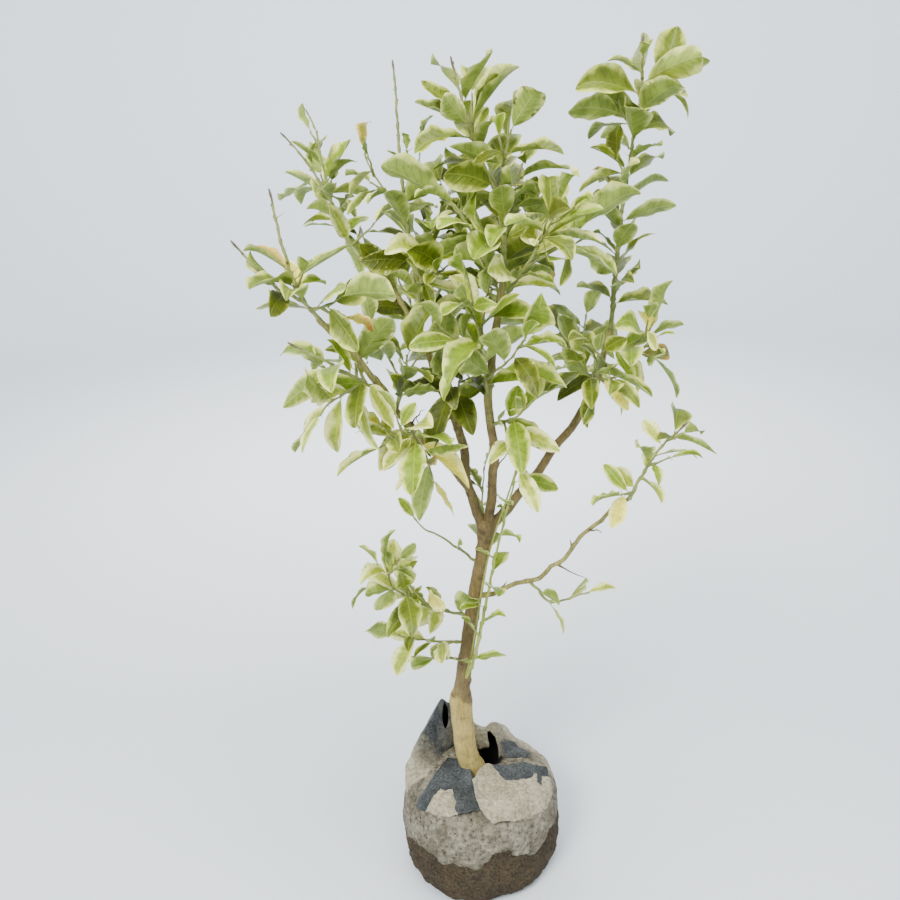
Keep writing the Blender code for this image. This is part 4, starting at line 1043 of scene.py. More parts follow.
def wood_material(name, low_wood, high_wood, border):
    """Bark in two woods, the border between them painted by the number named age or by height."""
    material, tree, shader, place = new_material(name, 0.82, 0.3)
    stretched = squeezed(tree, place, 0.28)
    tints = [three_tints(tree, stretched, WOOD_TINTS[wood], 55.0, 420.0, 0.5)
             for wood in (low_wood, high_wood)]
    share = grouped(tree, "ragged_border", place, border(tree, place), 90.0, 0.5, 0.10)["Mask"]
    colour = blend_colours(tree, share, *tints)
    colour = grouped(tree, "mottled", stretched, colour, 260.0, 2.0)["Color"]
    streak = noise_at(tree, squeezed(tree, place, 0.10), 260.0, 4.0, 0.65)
    streak = spread(tree, streak, 0.50, 0.74, STREAK_SHARE, "LINEAR")
    colour = blend_colours(tree, streak, colour, linear(SCAR_TINT))
    scar = maths(tree, "MULTIPLY", painted(tree, "scar"), 0.75, clamp=True)
    colour = blend_colours(tree, scar, colour, linear(SCAR_TINT))
    tree.links.new(colour, shader.inputs["Base Color"])
    grain_bump(tree, shader, stretched, 140.0, 900.0, 0.5, 0.55, 0.0012)
    return material

GRAFT_LINE = GRAFT_HEIGHT - 0.034
GRAFT_SHARPNESS = 22.0

def above_graft(tree, place):
    """Share that passes a half at the slanting graft shoulder."""
    parts = add_node(tree, "SeparateXYZ", {"Vector": place}).outputs
    level = maths(tree, "MULTIPLY_ADD", parts[0], GRAFT_SLANT, parts[2])
    return maths(tree, "MULTIPLY_ADD", maths(tree, "SUBTRACT", level, GRAFT_LINE),
                 GRAFT_SHARPNESS, 0.5)

def old_enough(tree, place):
    """Share painted along the limb."""
    return painted(tree, "age")

trunk_bark = wood_material("trunk_bark", "rootstock", "scion", above_graft)
bough_bark = wood_material("bough_bark", "young_wood", "scion", old_enough)

# %% The trunk
def fine_trunk_radius(share, point):
    """The trunk's radius with a small flare, because mud hides the foot."""
    flare = math.exp(-(point.z - TRUNK_FOOT) / ROOT_FLARE_HEIGHT)
    return trunk_radius(share, point) - (ROOT_FLARE - FOOT_FLARE) * flare

# Height, direction, rise, width and darkness of each pruning scar
TRUNK_MARKS = [
    (0.722, (-0.7, -1.0, 0.0), 0.0026, 0.0070, 1.0), (0.705, (0.5, -1.0, 0.0), 0.0014, 0.0060, 0.7),
    (0.690, (-0.1, -1.0, 0.0), 0.0016, 0.0050, 0.5), (0.632, (0.3, -1.0, 0.0), 0.0016, 0.0040, 0.8),
    (0.560, (0.7, -1.0, 0.0), 0.0022, 0.0045, 0.7), (0.520, (0.1, -1.0, 0.0), 0.0016, 0.0045, 0.6),
    (0.452, (-0.6, -1.0, 0.0), 0.0020, 0.0042, 0.8),
    (0.378, (-1.0, -0.6, 0.0), 0.0018, 0.0060, 0.9), (0.330, (0.2, -1.0, 0.0), 0.0010, 0.0050, 0.3),
]
trunk = bark_limb("trunk_bark_mesh", TRUNK_WAY, fine_trunk_radius, TRUNK_RING,
                  (1.0, 1.0), 0.0, marks=TRUNK_MARKS)
finish_piece(trunk, ["trunk"], [trunk_bark])
print("trunk:", len(trunk.data.polygons), "faces")

# %% The boughs
# Age at the host and at the tip, and the size of the zigzag
BOUGH_LOOKS = {
    "left_bough": ((0.92, 0.15), 0.0016), "centre_leader": ((0.95, 0.05), 0.0014),
    "right_bough": ((1.0, 0.25), 0.0016), "left_low_arm": ((0.70, 0.15), 0.0020),
    "left_high_arm": ((0.45, 0.10), 0.0014), "low_right_branch": ((0.50, 0.15), 0.0042),
}
BOUGH_KNOTS = 0.8
for limb, (way, thick, thin) in BOUGHS.items():
    ages, jog = BOUGH_LOOKS[limb]
    bough = bark_limb(limb + "_bark_mesh", metres(way), taper(thick, thin), BOUGH_RING, ages,
                      COLLAR, BOUGH_KNOTS, jog)
    finish_piece(bough, [limb], [bough_bark])
print("boughs:", ", ".join(BOUGHS))

# %% [markdown]
# ## Leaves
# A lemon leaf is a leathery blade, folded a little along its midrib, arched down its length and
# wavy at its rim, on a short green stalk. A flat card would look like paper, so each one is a
# closed lens-shaped sweep: rows along the blade, a ring of points round each row, the upper side
# and the lower side meeting at a shared rim. How far it folds, arches and waves is drawn per leaf.

# %% Outline and section of a leaf
BLADE_ROWS = 15
BLADE_RING = [-1.0, -0.68, -0.34, 0.0, 0.34, 0.68, 1.0]
STALK_SHARE = 0.10
STALK_HALF_WIDTH = 0.0008
BLADE_THICKNESS = 0.0007
KEEL_DEPTH = 0.0006
BLADE_WIDTH = (0.37, 0.50)
BLADE_BASE_POWER = (0.66, 0.92)
BLADE_TIP_POWER = (0.56, 0.82)
BLADE_FOLD = (0.10, 0.75)
BLADE_WAVES = (1.2, 3.2)
BLADE_WAVE_HEIGHT = (0.04, 0.20)
BLADE_TWIST = 0.75
BLADE_BEND = 0.09
BLADE_CURL = (-0.3, 1.1)
BLADE_NOTCH = 0.022
FACE_TO_LIGHT = 0.45
FOLD_POWER = 1.3
CURL_FROM = 0.6

def blade_half_width(along, base, tip):
    """Half width at a share of the blade, as a share of the widest, which lies low down."""
    widest = base / (base + tip)
    peak = widest ** base * (1 - widest) ** tip
    return along ** base * (1 - along) ** tip / peak

def blade_rows():
    """Shares along a leaf, closer together at the stalk and the tip."""
    blade = [0.5 - 0.5 * math.cos(math.pi * (k + 0.5) / BLADE_ROWS) for k in range(BLADE_ROWS)]
    return [0.0, 0.5 * STALK_SHARE] + [STALK_SHARE + (1 - STALK_SHARE) * k for k in blade]

# %% One fine leaf
def fine_leaf(place, rng):
    """Points of a leaf, its painted numbers (across, rim and along) and the shares of its rows."""
    root, heading, face, length, droop = place
    face = (face + UP * FACE_TO_LIGHT).normalized()
    across = heading.cross(face).normalized()
    width = length * rng.uniform(*BLADE_WIDTH)
    base, tip = rng.uniform(*BLADE_BASE_POWER), rng.uniform(*BLADE_TIP_POWER)
    fold = rng.uniform(*BLADE_FOLD)
    waves, wave_height = rng.uniform(*BLADE_WAVES), rng.uniform(*BLADE_WAVE_HEIGHT)
    phases = (rng.uniform(0, 2 * math.pi), rng.uniform(0, 2 * math.pi))
    twist, bend = rng.uniform(-BLADE_TWIST, BLADE_TWIST), rng.uniform(-BLADE_BEND, BLADE_BEND)
    curl = rng.uniform(*BLADE_CURL)
    shares = blade_rows()
    ring = [(s, 1) for s in BLADE_RING] + [(s, -1) for s in reversed(BLADE_RING[1:-1])]
    verts, numbers = [], []
    for share in shares:
        blade = max(0.0, (share - STALK_SHARE) / (1 - STALK_SHARE))
        half = max(STALK_HALF_WIDTH * (1 - 0.6 * share),
                   0.5 * width * blade_half_width(blade, base, tip))
        middle = root + heading * (length * share) - UP * (droop * length * share ** 2)
        middle += across * (bend * length * blade ** 2)
        along = (heading - UP * (2 * droop * share) + across * (2 * bend * blade)).normalized()
        normal = across.cross(along).normalized()
        middle -= normal * (curl * length * max(0.0, blade - CURL_FROM) ** 2)
        turn = twist * blade
        side = across * math.cos(turn) + normal * math.sin(turn)
        lift = normal * math.cos(turn) - across * math.sin(turn)
        keel = STALK_HALF_WIDTH if blade == 0.0 else KEEL_DEPTH * (1 - 0.7 * share)
        notches = [1 + BLADE_NOTCH * math.sin(phase + 38 * share + 4 * math.sin(17 * share))
                   for phase in phases]
        for s, upper in ring:
            half_of_leaf = int(s >= 0)
            swing = math.sin(2 * math.pi * waves * blade + phases[half_of_leaf])
            rise = half * (fold * abs(s) ** FOLD_POWER + wave_height * swing * abs(s) ** 2)
            thick = 0.5 * BLADE_THICKNESS * math.sqrt(max(0.0, 1 - abs(s) ** 3))
            if s == 0.0:
                thick += keel if upper < 0 else -0.4 * keel if blade > 0 else keel
            verts.append(middle + side * (half * s * notches[half_of_leaf])
                         + lift * (rise + upper * thick))
            numbers.append((half * s, half * (1 - abs(s)), share))
    return verts, numbers, shares

# %% Faces and the map of a leaf, the same for all
RING_COUNT = 2 * len(BLADE_RING) - 2
UPPER_STRIPS = len(BLADE_RING) - 1

def leaf_faces(rows, first):
    """Faces of a leaf whose points start at first, with whether each is on the upper side."""
    faces = [(a, d, c, b) for a, b, c, d in ring_quads(rows, RING_COUNT, first)]
    upper = [face % RING_COUNT < UPPER_STRIPS for face in range(len(faces))]
    foot = tuple(range(first, first + RING_COUNT))
    end = first + (rows - 1) * RING_COUNT
    return faces + [foot, tuple(reversed(range(end, end + RING_COUNT)))], upper + [True, True]

def leaf_map(shares, cell, columns):
    """Atlas place of each corner of a leaf: upper side in the left half of its cell."""
    places = []
    for low, high in zip(shares, shares[1:]):
        for index in range(RING_COUNT):
            for step, share in ((0, low), (0, high), (1, high), (1, low)):
                ring = index + step
                half, strip = (0.02, ring) if index < UPPER_STRIPS else (0.52, ring - UPPER_STRIPS)
                places.append((half + 0.46 * strip / UPPER_STRIPS, 0.03 + 0.94 * share))
    for end in (0.012, 0.985):
        places += [(0.02 + 0.03 * index, end + 0.004 * (index % 2)) for index in range(RING_COUNT)]
    left, low = (cell % columns) / columns, (cell // columns) / columns
    return [(left + 1 / columns * x, low + 1 / columns * y) for x, y in places]

# %% [markdown]
# ## Leaf colours
# The tree is short of iron: its leaves stay green along the midrib and fade to lime and cream
# at the rim, some shoots far more than others, and a few leaves are scorched at the tip. One
# group draws the ribs and the fading rim from numbers kept on the points of each leaf, which a
# flat picture of a leaf could not follow round a curled blade. Whole tones go out by spray.

# %% Group: ribs and fading rim of a leaf
SIDE_VEINS = 8.5
VEIN_SLANT = 68.0

def leaf_pattern(tree, given, place):
    """Midrib, slanting side veins darkened along their sunken grooves as painted shade, and a rim
    that fades unevenly.
    """
    away = maths(tree, "ABSOLUTE", given["Across"])
    side = maths(tree, "GREATER_THAN", given["Across"], 0.0)
    shift = maths(tree, "MULTIPLY", side, 0.5)
    phase = maths(tree, "MULTIPLY_ADD", given["Along"], SIDE_VEINS, shift)
    phase = maths(tree, "SUBTRACT", phase, maths(tree, "MULTIPLY", away, VEIN_SLANT))
    phase = maths(tree, "MULTIPLY_ADD", noise_at(tree, place, 70.0), 1.1, phase)
    band = maths(tree, "MULTIPLY", maths(tree, "PINGPONG", phase, 0.5), 2.0)
    vein = spread(tree, band, 0.42, 0.0)
    rib = spread(tree, away, 0.0014, 0.0004)
    stalk = spread(tree, given["Along"], 0.13, 0.10, kind="LINEAR")
    lines = maths(tree, "MAXIMUM", rib, stalk)
    patches = noise_at(tree, place, 48.0, 4.0)
    drift = maths(tree, "SUBTRACT", patches, 0.5)
    whole = maths(tree, "MAXIMUM", maths(tree, "ADD", away, given["Rim"]), 0.0004)
    out = maths(tree, "MULTIPLY_ADD", drift, 1.25, maths(tree, "DIVIDE", away, whole))
    out = maths(tree, "MULTIPLY_ADD", given["Along"], 0.14, maths(tree, "SUBTRACT", out, 0.07))
    fade = spread(tree, out, maths(tree, "SUBTRACT", given["Fade At"], 0.40),
                  maths(tree, "ADD", given["Fade At"], 0.16))
    # painted shade: the side veins are darkened as if their sunken grooves were in shade
    bright = maths(tree, "MULTIPLY_ADD", vein, -0.18, maths(tree, "MULTIPLY_ADD", drift, 1.5, 1.03))
    colour = blend_colours(tree, maths(tree, "MULTIPLY", fade, 0.9),
                           scaled(tree, given["Blade"], bright), given["Rim Tint"])
    colour = blend_colours(tree, maths(tree, "MULTIPLY", lines, 0.45), colour, given["Vein"])
    scorch = maths(tree, "MULTIPLY_ADD", given["Along"], 0.55, patches)
    level = maths(tree, "SUBTRACT", 1.30, maths(tree, "MULTIPLY", given["Scorch Share"], 0.5))
    burnt = spread(tree, scorch, level, maths(tree, "ADD", level, 0.10), kind="LINEAR")
    colour = blend_colours(tree, maths(tree, "MULTIPLY", burnt, 0.85), colour, given["Scorch"])
    return [colour, maths(tree, "SUBTRACT", maths(tree, "MULTIPLY", vein, -0.8), lines)]

shader_group(
    "leaf_pattern",
    [("Blade", "Color", GREY), ("Vein", "Color", GREY), ("Rim Tint", "Color", WHITE),
     ("Scorch", "Color", GREY), ("Fade At", "Float", 0.8), ("Scorch Share", "Float", 0.0),
     ("Across", "Float", 0.0), ("Rim", "Float", 0.01), ("Along", "Float", 0.5)],
    [("Color", "Color"), ("Height", "Float")], leaf_pattern)
print("leaf pattern ready")

# %% Leaf tones: blade, vein, rim, where the rim starts to fade, scorched share, share of sprays
LEAF_TONES = {
    "deep": ("525b0e", "7e882a", "a6aa40", 1.02, 0.10, 4),
    "olive": ("627110", "9ea63c", "d4da66", 0.92, 0.15, 6),
    "lime": ("7b9418", "b4be4a", "ecef80", 0.84, 0.10, 6),
    "cream": ("a3b22d", "d6d968", "faf8a2", 0.62, 0.15, 4),
    "straw": ("ece04a", "f4ec84", "fffa9a", 0.70, 0.30, 2),
    "tawny": ("74741a", "a09a3c", "d2ac46", 0.82, 0.70, 1),
}
UNDERSIDE = ("829438", "aeb466", "d8dc84", 0.94, 0.05)
SCORCH_TINT = "8f5420"
STRAY_TONE_SHARE = 0.26
SPRAY_TONE_SHARE = 0.30
# The deep tone is a darker green for the inner and back masses and a few sprays at the top: partly
# the leaves' own tone, partly painted shade of leaves inside the crown and turned from the light.
MASS_TONES = {
    "deep": ("left_inner", "left_back", "leader_back", "right_back", "trunk_back"),
    "olive": ("whip", "high_arm", "low_arm", "left_upper", "leader_top", "right_top",
              "right_inner"),
    "lime": ("left_mid", "leader_right", "leader_front", "leader_low", "right_mid", "low_right"),
    "cream": ("left_front", "low_left", "low_left_under", "low_right_spur"),
}

SPRAY_TONES = {
    "left_front_foliage 2": "straw", "leader_low_foliage 1": "cream", "green_sucker 0": "lime",
    "leader_top_foliage 1": "deep", "high_arm_foliage 2": "deep", "whip_foliage 3": "deep",
    "low_left_foliage 1": "cream", "low_left_foliage 2": "lime",
}

def leaf_material(name, look, roughness, depth):
    """A leathery leaf in one tone."""
    material, tree, shader, place = new_material(name, roughness, 0.34)
    *tints, fade_at, scorched = look
    values = [linear(tint) for tint in tints + [SCORCH_TINT]] + [fade_at, scorched]
    values += [painted(tree, number) for number in ("across", "rim", "along")]
    pattern = grouped(tree, "leaf_pattern", place, *values)
    tree.links.new(pattern["Color"], shader.inputs["Base Color"])
    bump(tree, shader, pattern["Height"], 0.6, depth)
    return material

leaf_paints = [leaf_material("leaf_" + tone, look[:-1], 0.46, 0.0009)
               for tone, look in LEAF_TONES.items()]
leaf_paints.append(leaf_material("leaf_underside", UNDERSIDE, 0.62, 0.0008))
print("leaf paints:", ", ".join(LEAF_TONES), "and the underside")

# %% Join the leaves of each mass into one piece
def leaf_tone(name, owner, index):
    """The tone of a mass, another for some of its sprays, and a stray leaf now and then."""
    tones, deals = list(LEAF_TONES), [look[-1] for look in LEAF_TONES.values()]
    masses = {mass: tone for tone, group in MASS_TONES.items() for mass in group}
    tone = masses.get(name.removesuffix("_foliage"), "lime")
    spray, stray = random.Random(f"tone of {owner}"), random.Random(f"stray {owner} {index}")
    if spray.random() < SPRAY_TONE_SHARE:
        tone = spray.choices(tones, deals)[0]
    tone = SPRAY_TONES.get(owner.split(" twig")[0].split(" sprig")[0], tone)
    if stray.random() < STRAY_TONE_SHARE:
        tone = stray.choices(tones, deals)[0]
    return tones.index(tone)

def join_leaves(name):
    """One mesh of all leaves of a mass, with their numbers, materials and map."""
    places = leaves_of[name]
    columns = math.ceil(math.sqrt(len(places)))
    verts, faces, tones, corners, numbers = [], [], [], [], []
    for index, (owner, *place) in enumerate(places):
        points, painted_numbers, shares = fine_leaf(place, random.Random(f"{owner} leaf {index}"))
        new_faces, upper = leaf_faces(len(shares), len(verts))
        verts += points
        faces += new_faces
        numbers += painted_numbers
        tone = leaf_tone(name, owner, index)
        tones += [tone if up else len(LEAF_TONES) for up in upper]
        corners += leaf_map(shares, index, columns)
    across, rim, along = zip(*numbers)
    piece = add_piece(name + "_leaves", verts, faces, across=across, rim=rim, along=along)
    rims = [a % RING_COUNT == b % RING_COUNT and a % UPPER_STRIPS == 0
            for a, b in (edge.vertices for edge in piece.data.edges)]
    piece.data.attributes.new("sharp_edge", "BOOLEAN", "EDGE").data.foreach_set("value", rims)
    finish_piece(piece, [name], leaf_paints)
    piece.data.polygons.foreach_set("material_index", tones)
    layer = piece.data.uv_layers.new(name="OFBake")
    layer.data.foreach_set("uv", [value for corner in corners for value in corner])
    return piece

def triangles_of(piece):
    """Count of triangles of a piece."""
    return sum(len(face.vertices) - 2 for face in piece.data.polygons)

leaf_triangles = sum(triangles_of(join_leaves(name)) for name in FOLIAGE)
print("leaves:", sum(map(len, leaves_of.values())), "with", leaf_triangles, "triangles")

# %% [markdown]
# ## Shoots and twigs
# The green shoots zigzag a little from leaf to leaf, swell at each node, carry a bud there and
# now and then a thin dark thorn, and end bare and brown where they outgrew their leaves. Thin
# swept tubes do that; the numbers painted on them say where the brown tips and the buds are.

# %% Numbers of the shoots
TWIG_RING = 8
TWIG_CAP = 0.0002
TWIG_STEP = 0.006
NODE_SWELLING = 0.55
SHOOT_PLUMP = 1.12
BARE_PLUMP = 1.14
FOOT_PLUMP = 0.45
FOOT_PLUMP_FROM = (0.22, 0.34)
SUCKER_TWIN = Vector((-0.011, 0.006, 0.0))
SUCKER_TWIN_RADIUS = 0.0015
KINK = 0.0022
BUD_SPACING = 0.016
NODE_WIDTH = 0.0035
THORN_SHARE = 0.22
THORN_LENGTH = (0.006, 0.014)
THORN_RADIUS = 0.0006
BUD_LENGTH = 0.0035
BARE_TIP_BROWN = 0.035
FOOT_SWELLING = (0.5, 0.006)
KINK_STEP = 0.016
KINK_FROM = 0.02
BUD_SIDES = 5
FOOT_BROWN = 0.15

# %% One shoot as a tube
def rounded_line(points, step):
    """Points along a bent line, its corners rounded off a little."""
    line = []
    for a, b in zip(points, points[1:]):
        count = max(1, round((b - a).length / step))
        line += [a.lerp(b, k / count) for k in range(count)]
    line.append(points[-1])
    for _ in range(2):
        inner = [(a + 2 * b + c) / 4 for a, b, c in zip(line, line[1:], line[2:])]
        line = [line[0]] + inner + [line[-1]]
    return line

def wobble(reach, phase):
    """Small sideways steps along a shoot, about one each internode."""
    spots = [Vector((reach / KINK_STEP, phase, depth)) for depth in (0.0, 20.0, 40.0)]
    return Vector([noise.noise(spot) for spot in spots])

def add_prong(store, base, out, radii, brown):
    """Adds a bud or thorn: a short tube that thins to its tip."""
    add_tube(store, [base, base + 0.5 * out, base + out], radii, BUD_SIDES, (TWIG_CAP, radii[-1]),
             brown=brown)

def add_shoot(store, stem, nodes, bare, main, rng):
    """A shoot with swollen nodes, buds and thorns, and a brown tip where it is bare."""
    line = rounded_line(stem.points, TWIG_STEP)
    if bare > 0:
        count = round(bare * stem.length / BUD_SPACING)
        nodes = nodes + [1 - bare * (k + 0.5) / count for k in range(count)]
    lengths = [0.0]
    for a, b in zip(line, line[1:]):
        lengths.append(lengths[-1] + (b - a).length)
    total = lengths[-1]
    phase = rng.uniform(0, 40)
    plump = BARE_PLUMP if bare > 0 else SHOOT_PLUMP
    foot = FOOT_PLUMP * smoothstep(*FOOT_PLUMP_FROM, total) if main else 0.0
    rise, fade = FOOT_SWELLING
    radii, brown = [], []
    for point, reach in zip(line, lengths):
        share = reach / total
        radius = plump * (stem.radii[0] + (stem.radii[-1] - stem.radii[0]) * share)
        radius *= 1 + rise * math.exp(-reach / fade) + foot * (1 - share)
        apart = min([abs(share - node) * total for node in nodes], default=1.0)
        radii.append(radius * (1 + NODE_SWELLING * math.exp(-(apart / NODE_WIDTH) ** 2)))
        point += KINK * wobble(reach, phase) * min(1.0, reach / KINK_FROM)
        ending = max(0.0, 1 - (total - reach) / BARE_TIP_BROWN) if bare > 0 else 0.0
        brown.append(min(1.0, FOOT_BROWN * (1 - share) + ending))
    add_tube(store, line, radii, TWIG_RING, (TWIG_CAP, radii[-1]), brown=brown)
    for node in nodes:
        point, axis, radius = stem.at(node)
        out = side_direction(axis, rng.uniform(0, 2 * math.pi))
        size, dark = (1.3, 0.8) if bare > 0 and node > 1 - bare else (1.0, 0.1)
        bud = (axis + out * 0.6).normalized() * (size * BUD_LENGTH)
        add_prong(store, point + out * (0.7 * radius), bud, [0.0010 * size, 0.0010 * size, 0.0003],
                  [dark] * 3)
        if rng.random() < THORN_SHARE:
            thorn = (axis * 0.45 - out).normalized() * rng.uniform(*THORN_LENGTH)
            add_prong(store, point - out * (0.6 * radius), thorn,
                      [share * THORN_RADIUS for share in (1.0, 0.6, 0.15)], [0.6, 0.8, 1.0])

def add_twin(store, stem):
    """A second thin stem that leaves a shoot at its foot and meets it again at its tip."""
    line = rounded_line(stem.points, TWIG_STEP)
    last = len(line) - 1
    line = [point + SUCKER_TWIN * math.sin(math.pi * k / last) for k, point in enumerate(line)]
    add_tube(store, line, [SUCKER_TWIN_RADIUS] * (last + 1), TWIG_RING,
             (TWIG_CAP, SUCKER_TWIN_RADIUS), brown=[0.1] * (last + 1))

# %% Shoot material
SHOOT_TINTS = ("8f9550", "70773a", "b8b87c")
SHOOT_BROWN = "5d5240"
SUCKER_TINTS = ("8c983a", "a2aa4c", "bec272")

def shoot_material(name, tints):
    """Smooth green rind with fine pale streaks, brown where the number brown says so."""
    material, tree, shader, place = new_material(name, 0.5, 0.4)
    colour = three_tints(tree, place, tints, 70.0, 500.0, 0.6)
    dry = grouped(tree, "ragged_border", place, painted(tree, "brown"), 200.0, 0.4, 0.3)["Mask"]
    tree.links.new(blend_colours(tree, dry, colour, linear(SHOOT_BROWN)),
                   shader.inputs["Base Color"])
    grain_bump(tree, shader, place, 300.0, 1500.0, 0.4, 0.4, 0.0004)
    return material

shoot_rind = shoot_material("shoot_rind", SHOOT_TINTS)
sucker_rind = shoot_material("sucker_rind", SUCKER_TINTS)

# %% Join the shoots of each mass into one piece
NODE_STEPS = 32

def node_places(owner, stem, places):
    """Shares along a shoot at which its leaves sit."""
    line = [stem.at(k / NODE_STEPS)[0] for k in range(NODE_STEPS + 1)]
    return [min(range(NODE_STEPS + 1), key=lambda k: (line[k] - root).length) / NODE_STEPS
            for leaf_owner, root, *_ in places if leaf_owner == owner]

twig_triangles = 0
for name in FOLIAGE:
    store = {"verts": [], "faces": [], "brown": []}
    for stem, owner in twigs_of[name]:
        main = "twig" not in owner and "sprig" not in owner
        rng = random.Random(f"rind {owner}")
        nodes = node_places(owner, stem, leaves_of[name])
        add_shoot(store, stem, nodes, bare_share(name, owner), main, rng)
        if owner == "green_sucker 0":
            add_twin(store, stem)
    piece = add_piece(name + "_shoots", **store)
    rind = sucker_rind if name == "green_sucker" else shoot_rind
    finish_piece(piece, [name], [rind])
    twig_triangles += triangles_of(piece)
print("shoots:", twig_triangles, "triangles")

# %% [markdown]
# ## Root ball
# Under the sack is a ball of clay soil, smeared with mud that has dried to a pale crust on top
# and is still brown and damp lower down. It could be sculpted; here the same turned profile as
# the solid's is made fine, and lumps, creases, pits and the ragged lower edge of the crust are
# added point by point from noise. Behind the trunk the soil has sunk; the hollow, and the pocket
# under the sack's fold, are painted black as shade.

# %% Numbers of the ball
BALL_PROFILE = [
    (0.050, 0.190), (0.098, 0.186), (0.128, 0.171), (0.146, 0.140),
    (0.152, 0.095), (0.151, 0.050), (0.146, 0.017), (0.131, 0.000),
]
BALL_LUMPS = [(2, 0.018, 0.6), (3, 0.014, 2.1), (5, 0.008, 4.0)]
BALL_SEAT_RADIUS = 0.052
BALL_TURNS = 300
BALL_STEP = 0.0032
BALL_TOP_ROWS = 15
CRUST_EDGE = [
    (-180, 0.080), (-131, 0.113), (-118, 0.102), (-103, 0.106), (-74, 0.128), (-50, 0.092),
    (-32, 0.124), (-8, 0.132), (30, 0.112), (120, 0.092), (180, 0.080),
]
CRUST_THICKNESS = 0.0030
CRUST_FADE = 0.014
FOOT_MOUND = (-0.012, 0.000, 0.036, 0.0060)
HOLLOW = (0.018, 0.036, 0.022, 0.026)
HOLLOW_DEPTH = 0.034
PIT_DEPTH = 0.0016
FOOT_FLAT = 0.012
POCKET_SHADE = (0.018, 0.058, 0.036, 0.060)

# %% How dry and how deep
# Relief of the mud: size, fineness and detail of each noise, and the level of the creased ones
MUD_LUMPS = (0.0030, 14, 2)
CRUST_GRAIN = (0.0006, 110, 4)
DAMP_CLODS = (0.0024, 70, 4)
DAMP_GRAIN = (0.0008, 260, 2)
MUD_FOLDS = (0.0026, 17, 2, 0.6)
MUD_WRINKLES = (0.0018, 46, 3, 0.7)

def patchy(point, scale, detail=3):
    """Noise between about -1 and 1."""
    return noise.fractal(point * scale, 0.9, 2.1, detail)

def rough(point, size, scale, detail):
    """Relief of rounded lumps."""
    return size * patchy(point, scale, detail)

def creased(point, size, scale, detail, level):
    """Relief with sharp creases."""
    return size * (1 - abs(patchy(point, scale, detail)) - level)

def dryness(point):
    """Share of the pale crust at a point of the ball, with a wandering lower edge."""
    edge = looked_up(CRUST_EDGE, math.degrees(math.atan2(point.y, point.x)), eased)[0]
    wander = 0.012 * patchy(point, 26) + 0.006 * patchy(point, 90)
    return smoothstep(-0.5, 0.5, (point.z + wander - edge) / CRUST_FADE)

def inside_ellipse(x, y, middle_x, middle_y, half_x, half_y):
    """Share of an ellipse with a soft edge."""
    away = math.hypot((x - middle_x) / half_x, (y - middle_y) / half_y)
    return 1 - smoothstep(0.60, 1.15, away)

def mound_height(x, y):
    """Height of the mud heaped round the foot of the trunk."""
    middle_x, middle_y, radius, height = FOOT_MOUND
    return height * (1 - smoothstep(0.4, 1.0, math.hypot(x - middle_x, y - middle_y) / radius))

# %% The ball's mesh
def ball_rows():
    """Radius and height of each row, from near the middle of the top to the underside."""
    side = [(p.x, p.z) for p in curve_through([(r, 0.0, z) for r, z in BALL_PROFILE], BALL_STEP)]
    top = [(BALL_PROFILE[0][0] * (k + 1) / (BALL_TOP_ROWS + 1), BALL_PROFILE[0][1])
           for k in range(BALL_TOP_ROWS)]
    return top + [(r, max(0.0, z)) for r, z in side] + [(0.100, 0.0), (0.050, 0.0)]

def mud_relief(point, crust, height):
    """How far the mud stands out: lumps, folds, wrinkles and pits, flat at the foot."""
    upright = Vector((point.x, point.y, point.z * 0.45))
    level = Vector((point.x * 0.3, point.y * 0.3, point.z + 0.3 * point.x))
    push = rough(point, *MUD_LUMPS) + creased(upright, *MUD_FOLDS) + creased(level, *MUD_WRINKLES)
    push += crust * (CRUST_THICKNESS + rough(point, *CRUST_GRAIN))
    push += (1 - crust) * (rough(point, *DAMP_CLODS) + rough(point, *DAMP_GRAIN))
    push -= crust * PIT_DEPTH * smoothstep(0.42, 0.62, noise.noise(point * 120))
    return push * min(1.0, height / FOOT_FLAT)

def make_ball():
    """The fine ball, with numbers for its dry crust and for the painted shade of its hollow and
    pocket.
    """
    rows = ball_rows()
    verts, dry, dark = [], [], []
    for row, (radius, height) in enumerate(rows):
        before, after = rows[max(0, row - 1)], rows[min(len(rows) - 1, row + 1)]
        slope = Vector((before[1] - after[1], 0.0, after[0] - before[0])).normalized()
        grow = smoothstep(BALL_SEAT_RADIUS, BALL_SEAT_RADIUS + 0.03, radius)
        for angle in circle(BALL_TURNS):
            swell = 1 + grow * sum(size * math.sin(waves * angle + start)
                                   for waves, size, start in BALL_LUMPS)
            out = Vector((math.cos(angle), math.sin(angle), 0.0))
            point = Vector((radius * swell * math.cos(angle), radius * swell * math.sin(angle),
                            height))
            crust = dryness(point)
            point += (slope.x * out + slope.z * UP) * mud_relief(point, crust, height)
            sunk, shade = 0.0, 0.0
            if slope.z > 0.5:
                point.z += mound_height(point.x, point.y)
                sunk = inside_ellipse(point.x, point.y, *HOLLOW)
                shade = inside_ellipse(point.x, point.y, *POCKET_SHADE)
            point.z = max(0.0, point.z - HOLLOW_DEPTH * sunk)
            verts.append(point)
            dry.append(crust)
            # dark is painted shade: black in the sunk hollow and in the pocket under the sack's
            # fold
            dark.append(min(1.0, 3.4 * sunk + 2.0 * shade))
    verts += [Vector((0.0, 0.0, verts[0].z)), Vector((0.0, 0.0, 0.0))]
    faces = [face[:1] + face[:0:-1] for face in tube_faces(len(rows), BALL_TURNS)]
    return verts, faces, {"dry": dry + [1.0, 0.0], "dark": dark + [0.0, 0.0]}

ball_verts, ball_faces, ball_numbers = make_ball()
ball = add_piece("root_ball_mud", ball_verts, ball_faces, **ball_numbers)
ball_tree = BVHTree.FromPolygons(ball_verts, ball_faces)
print("ball:", len(ball_faces), "faces")

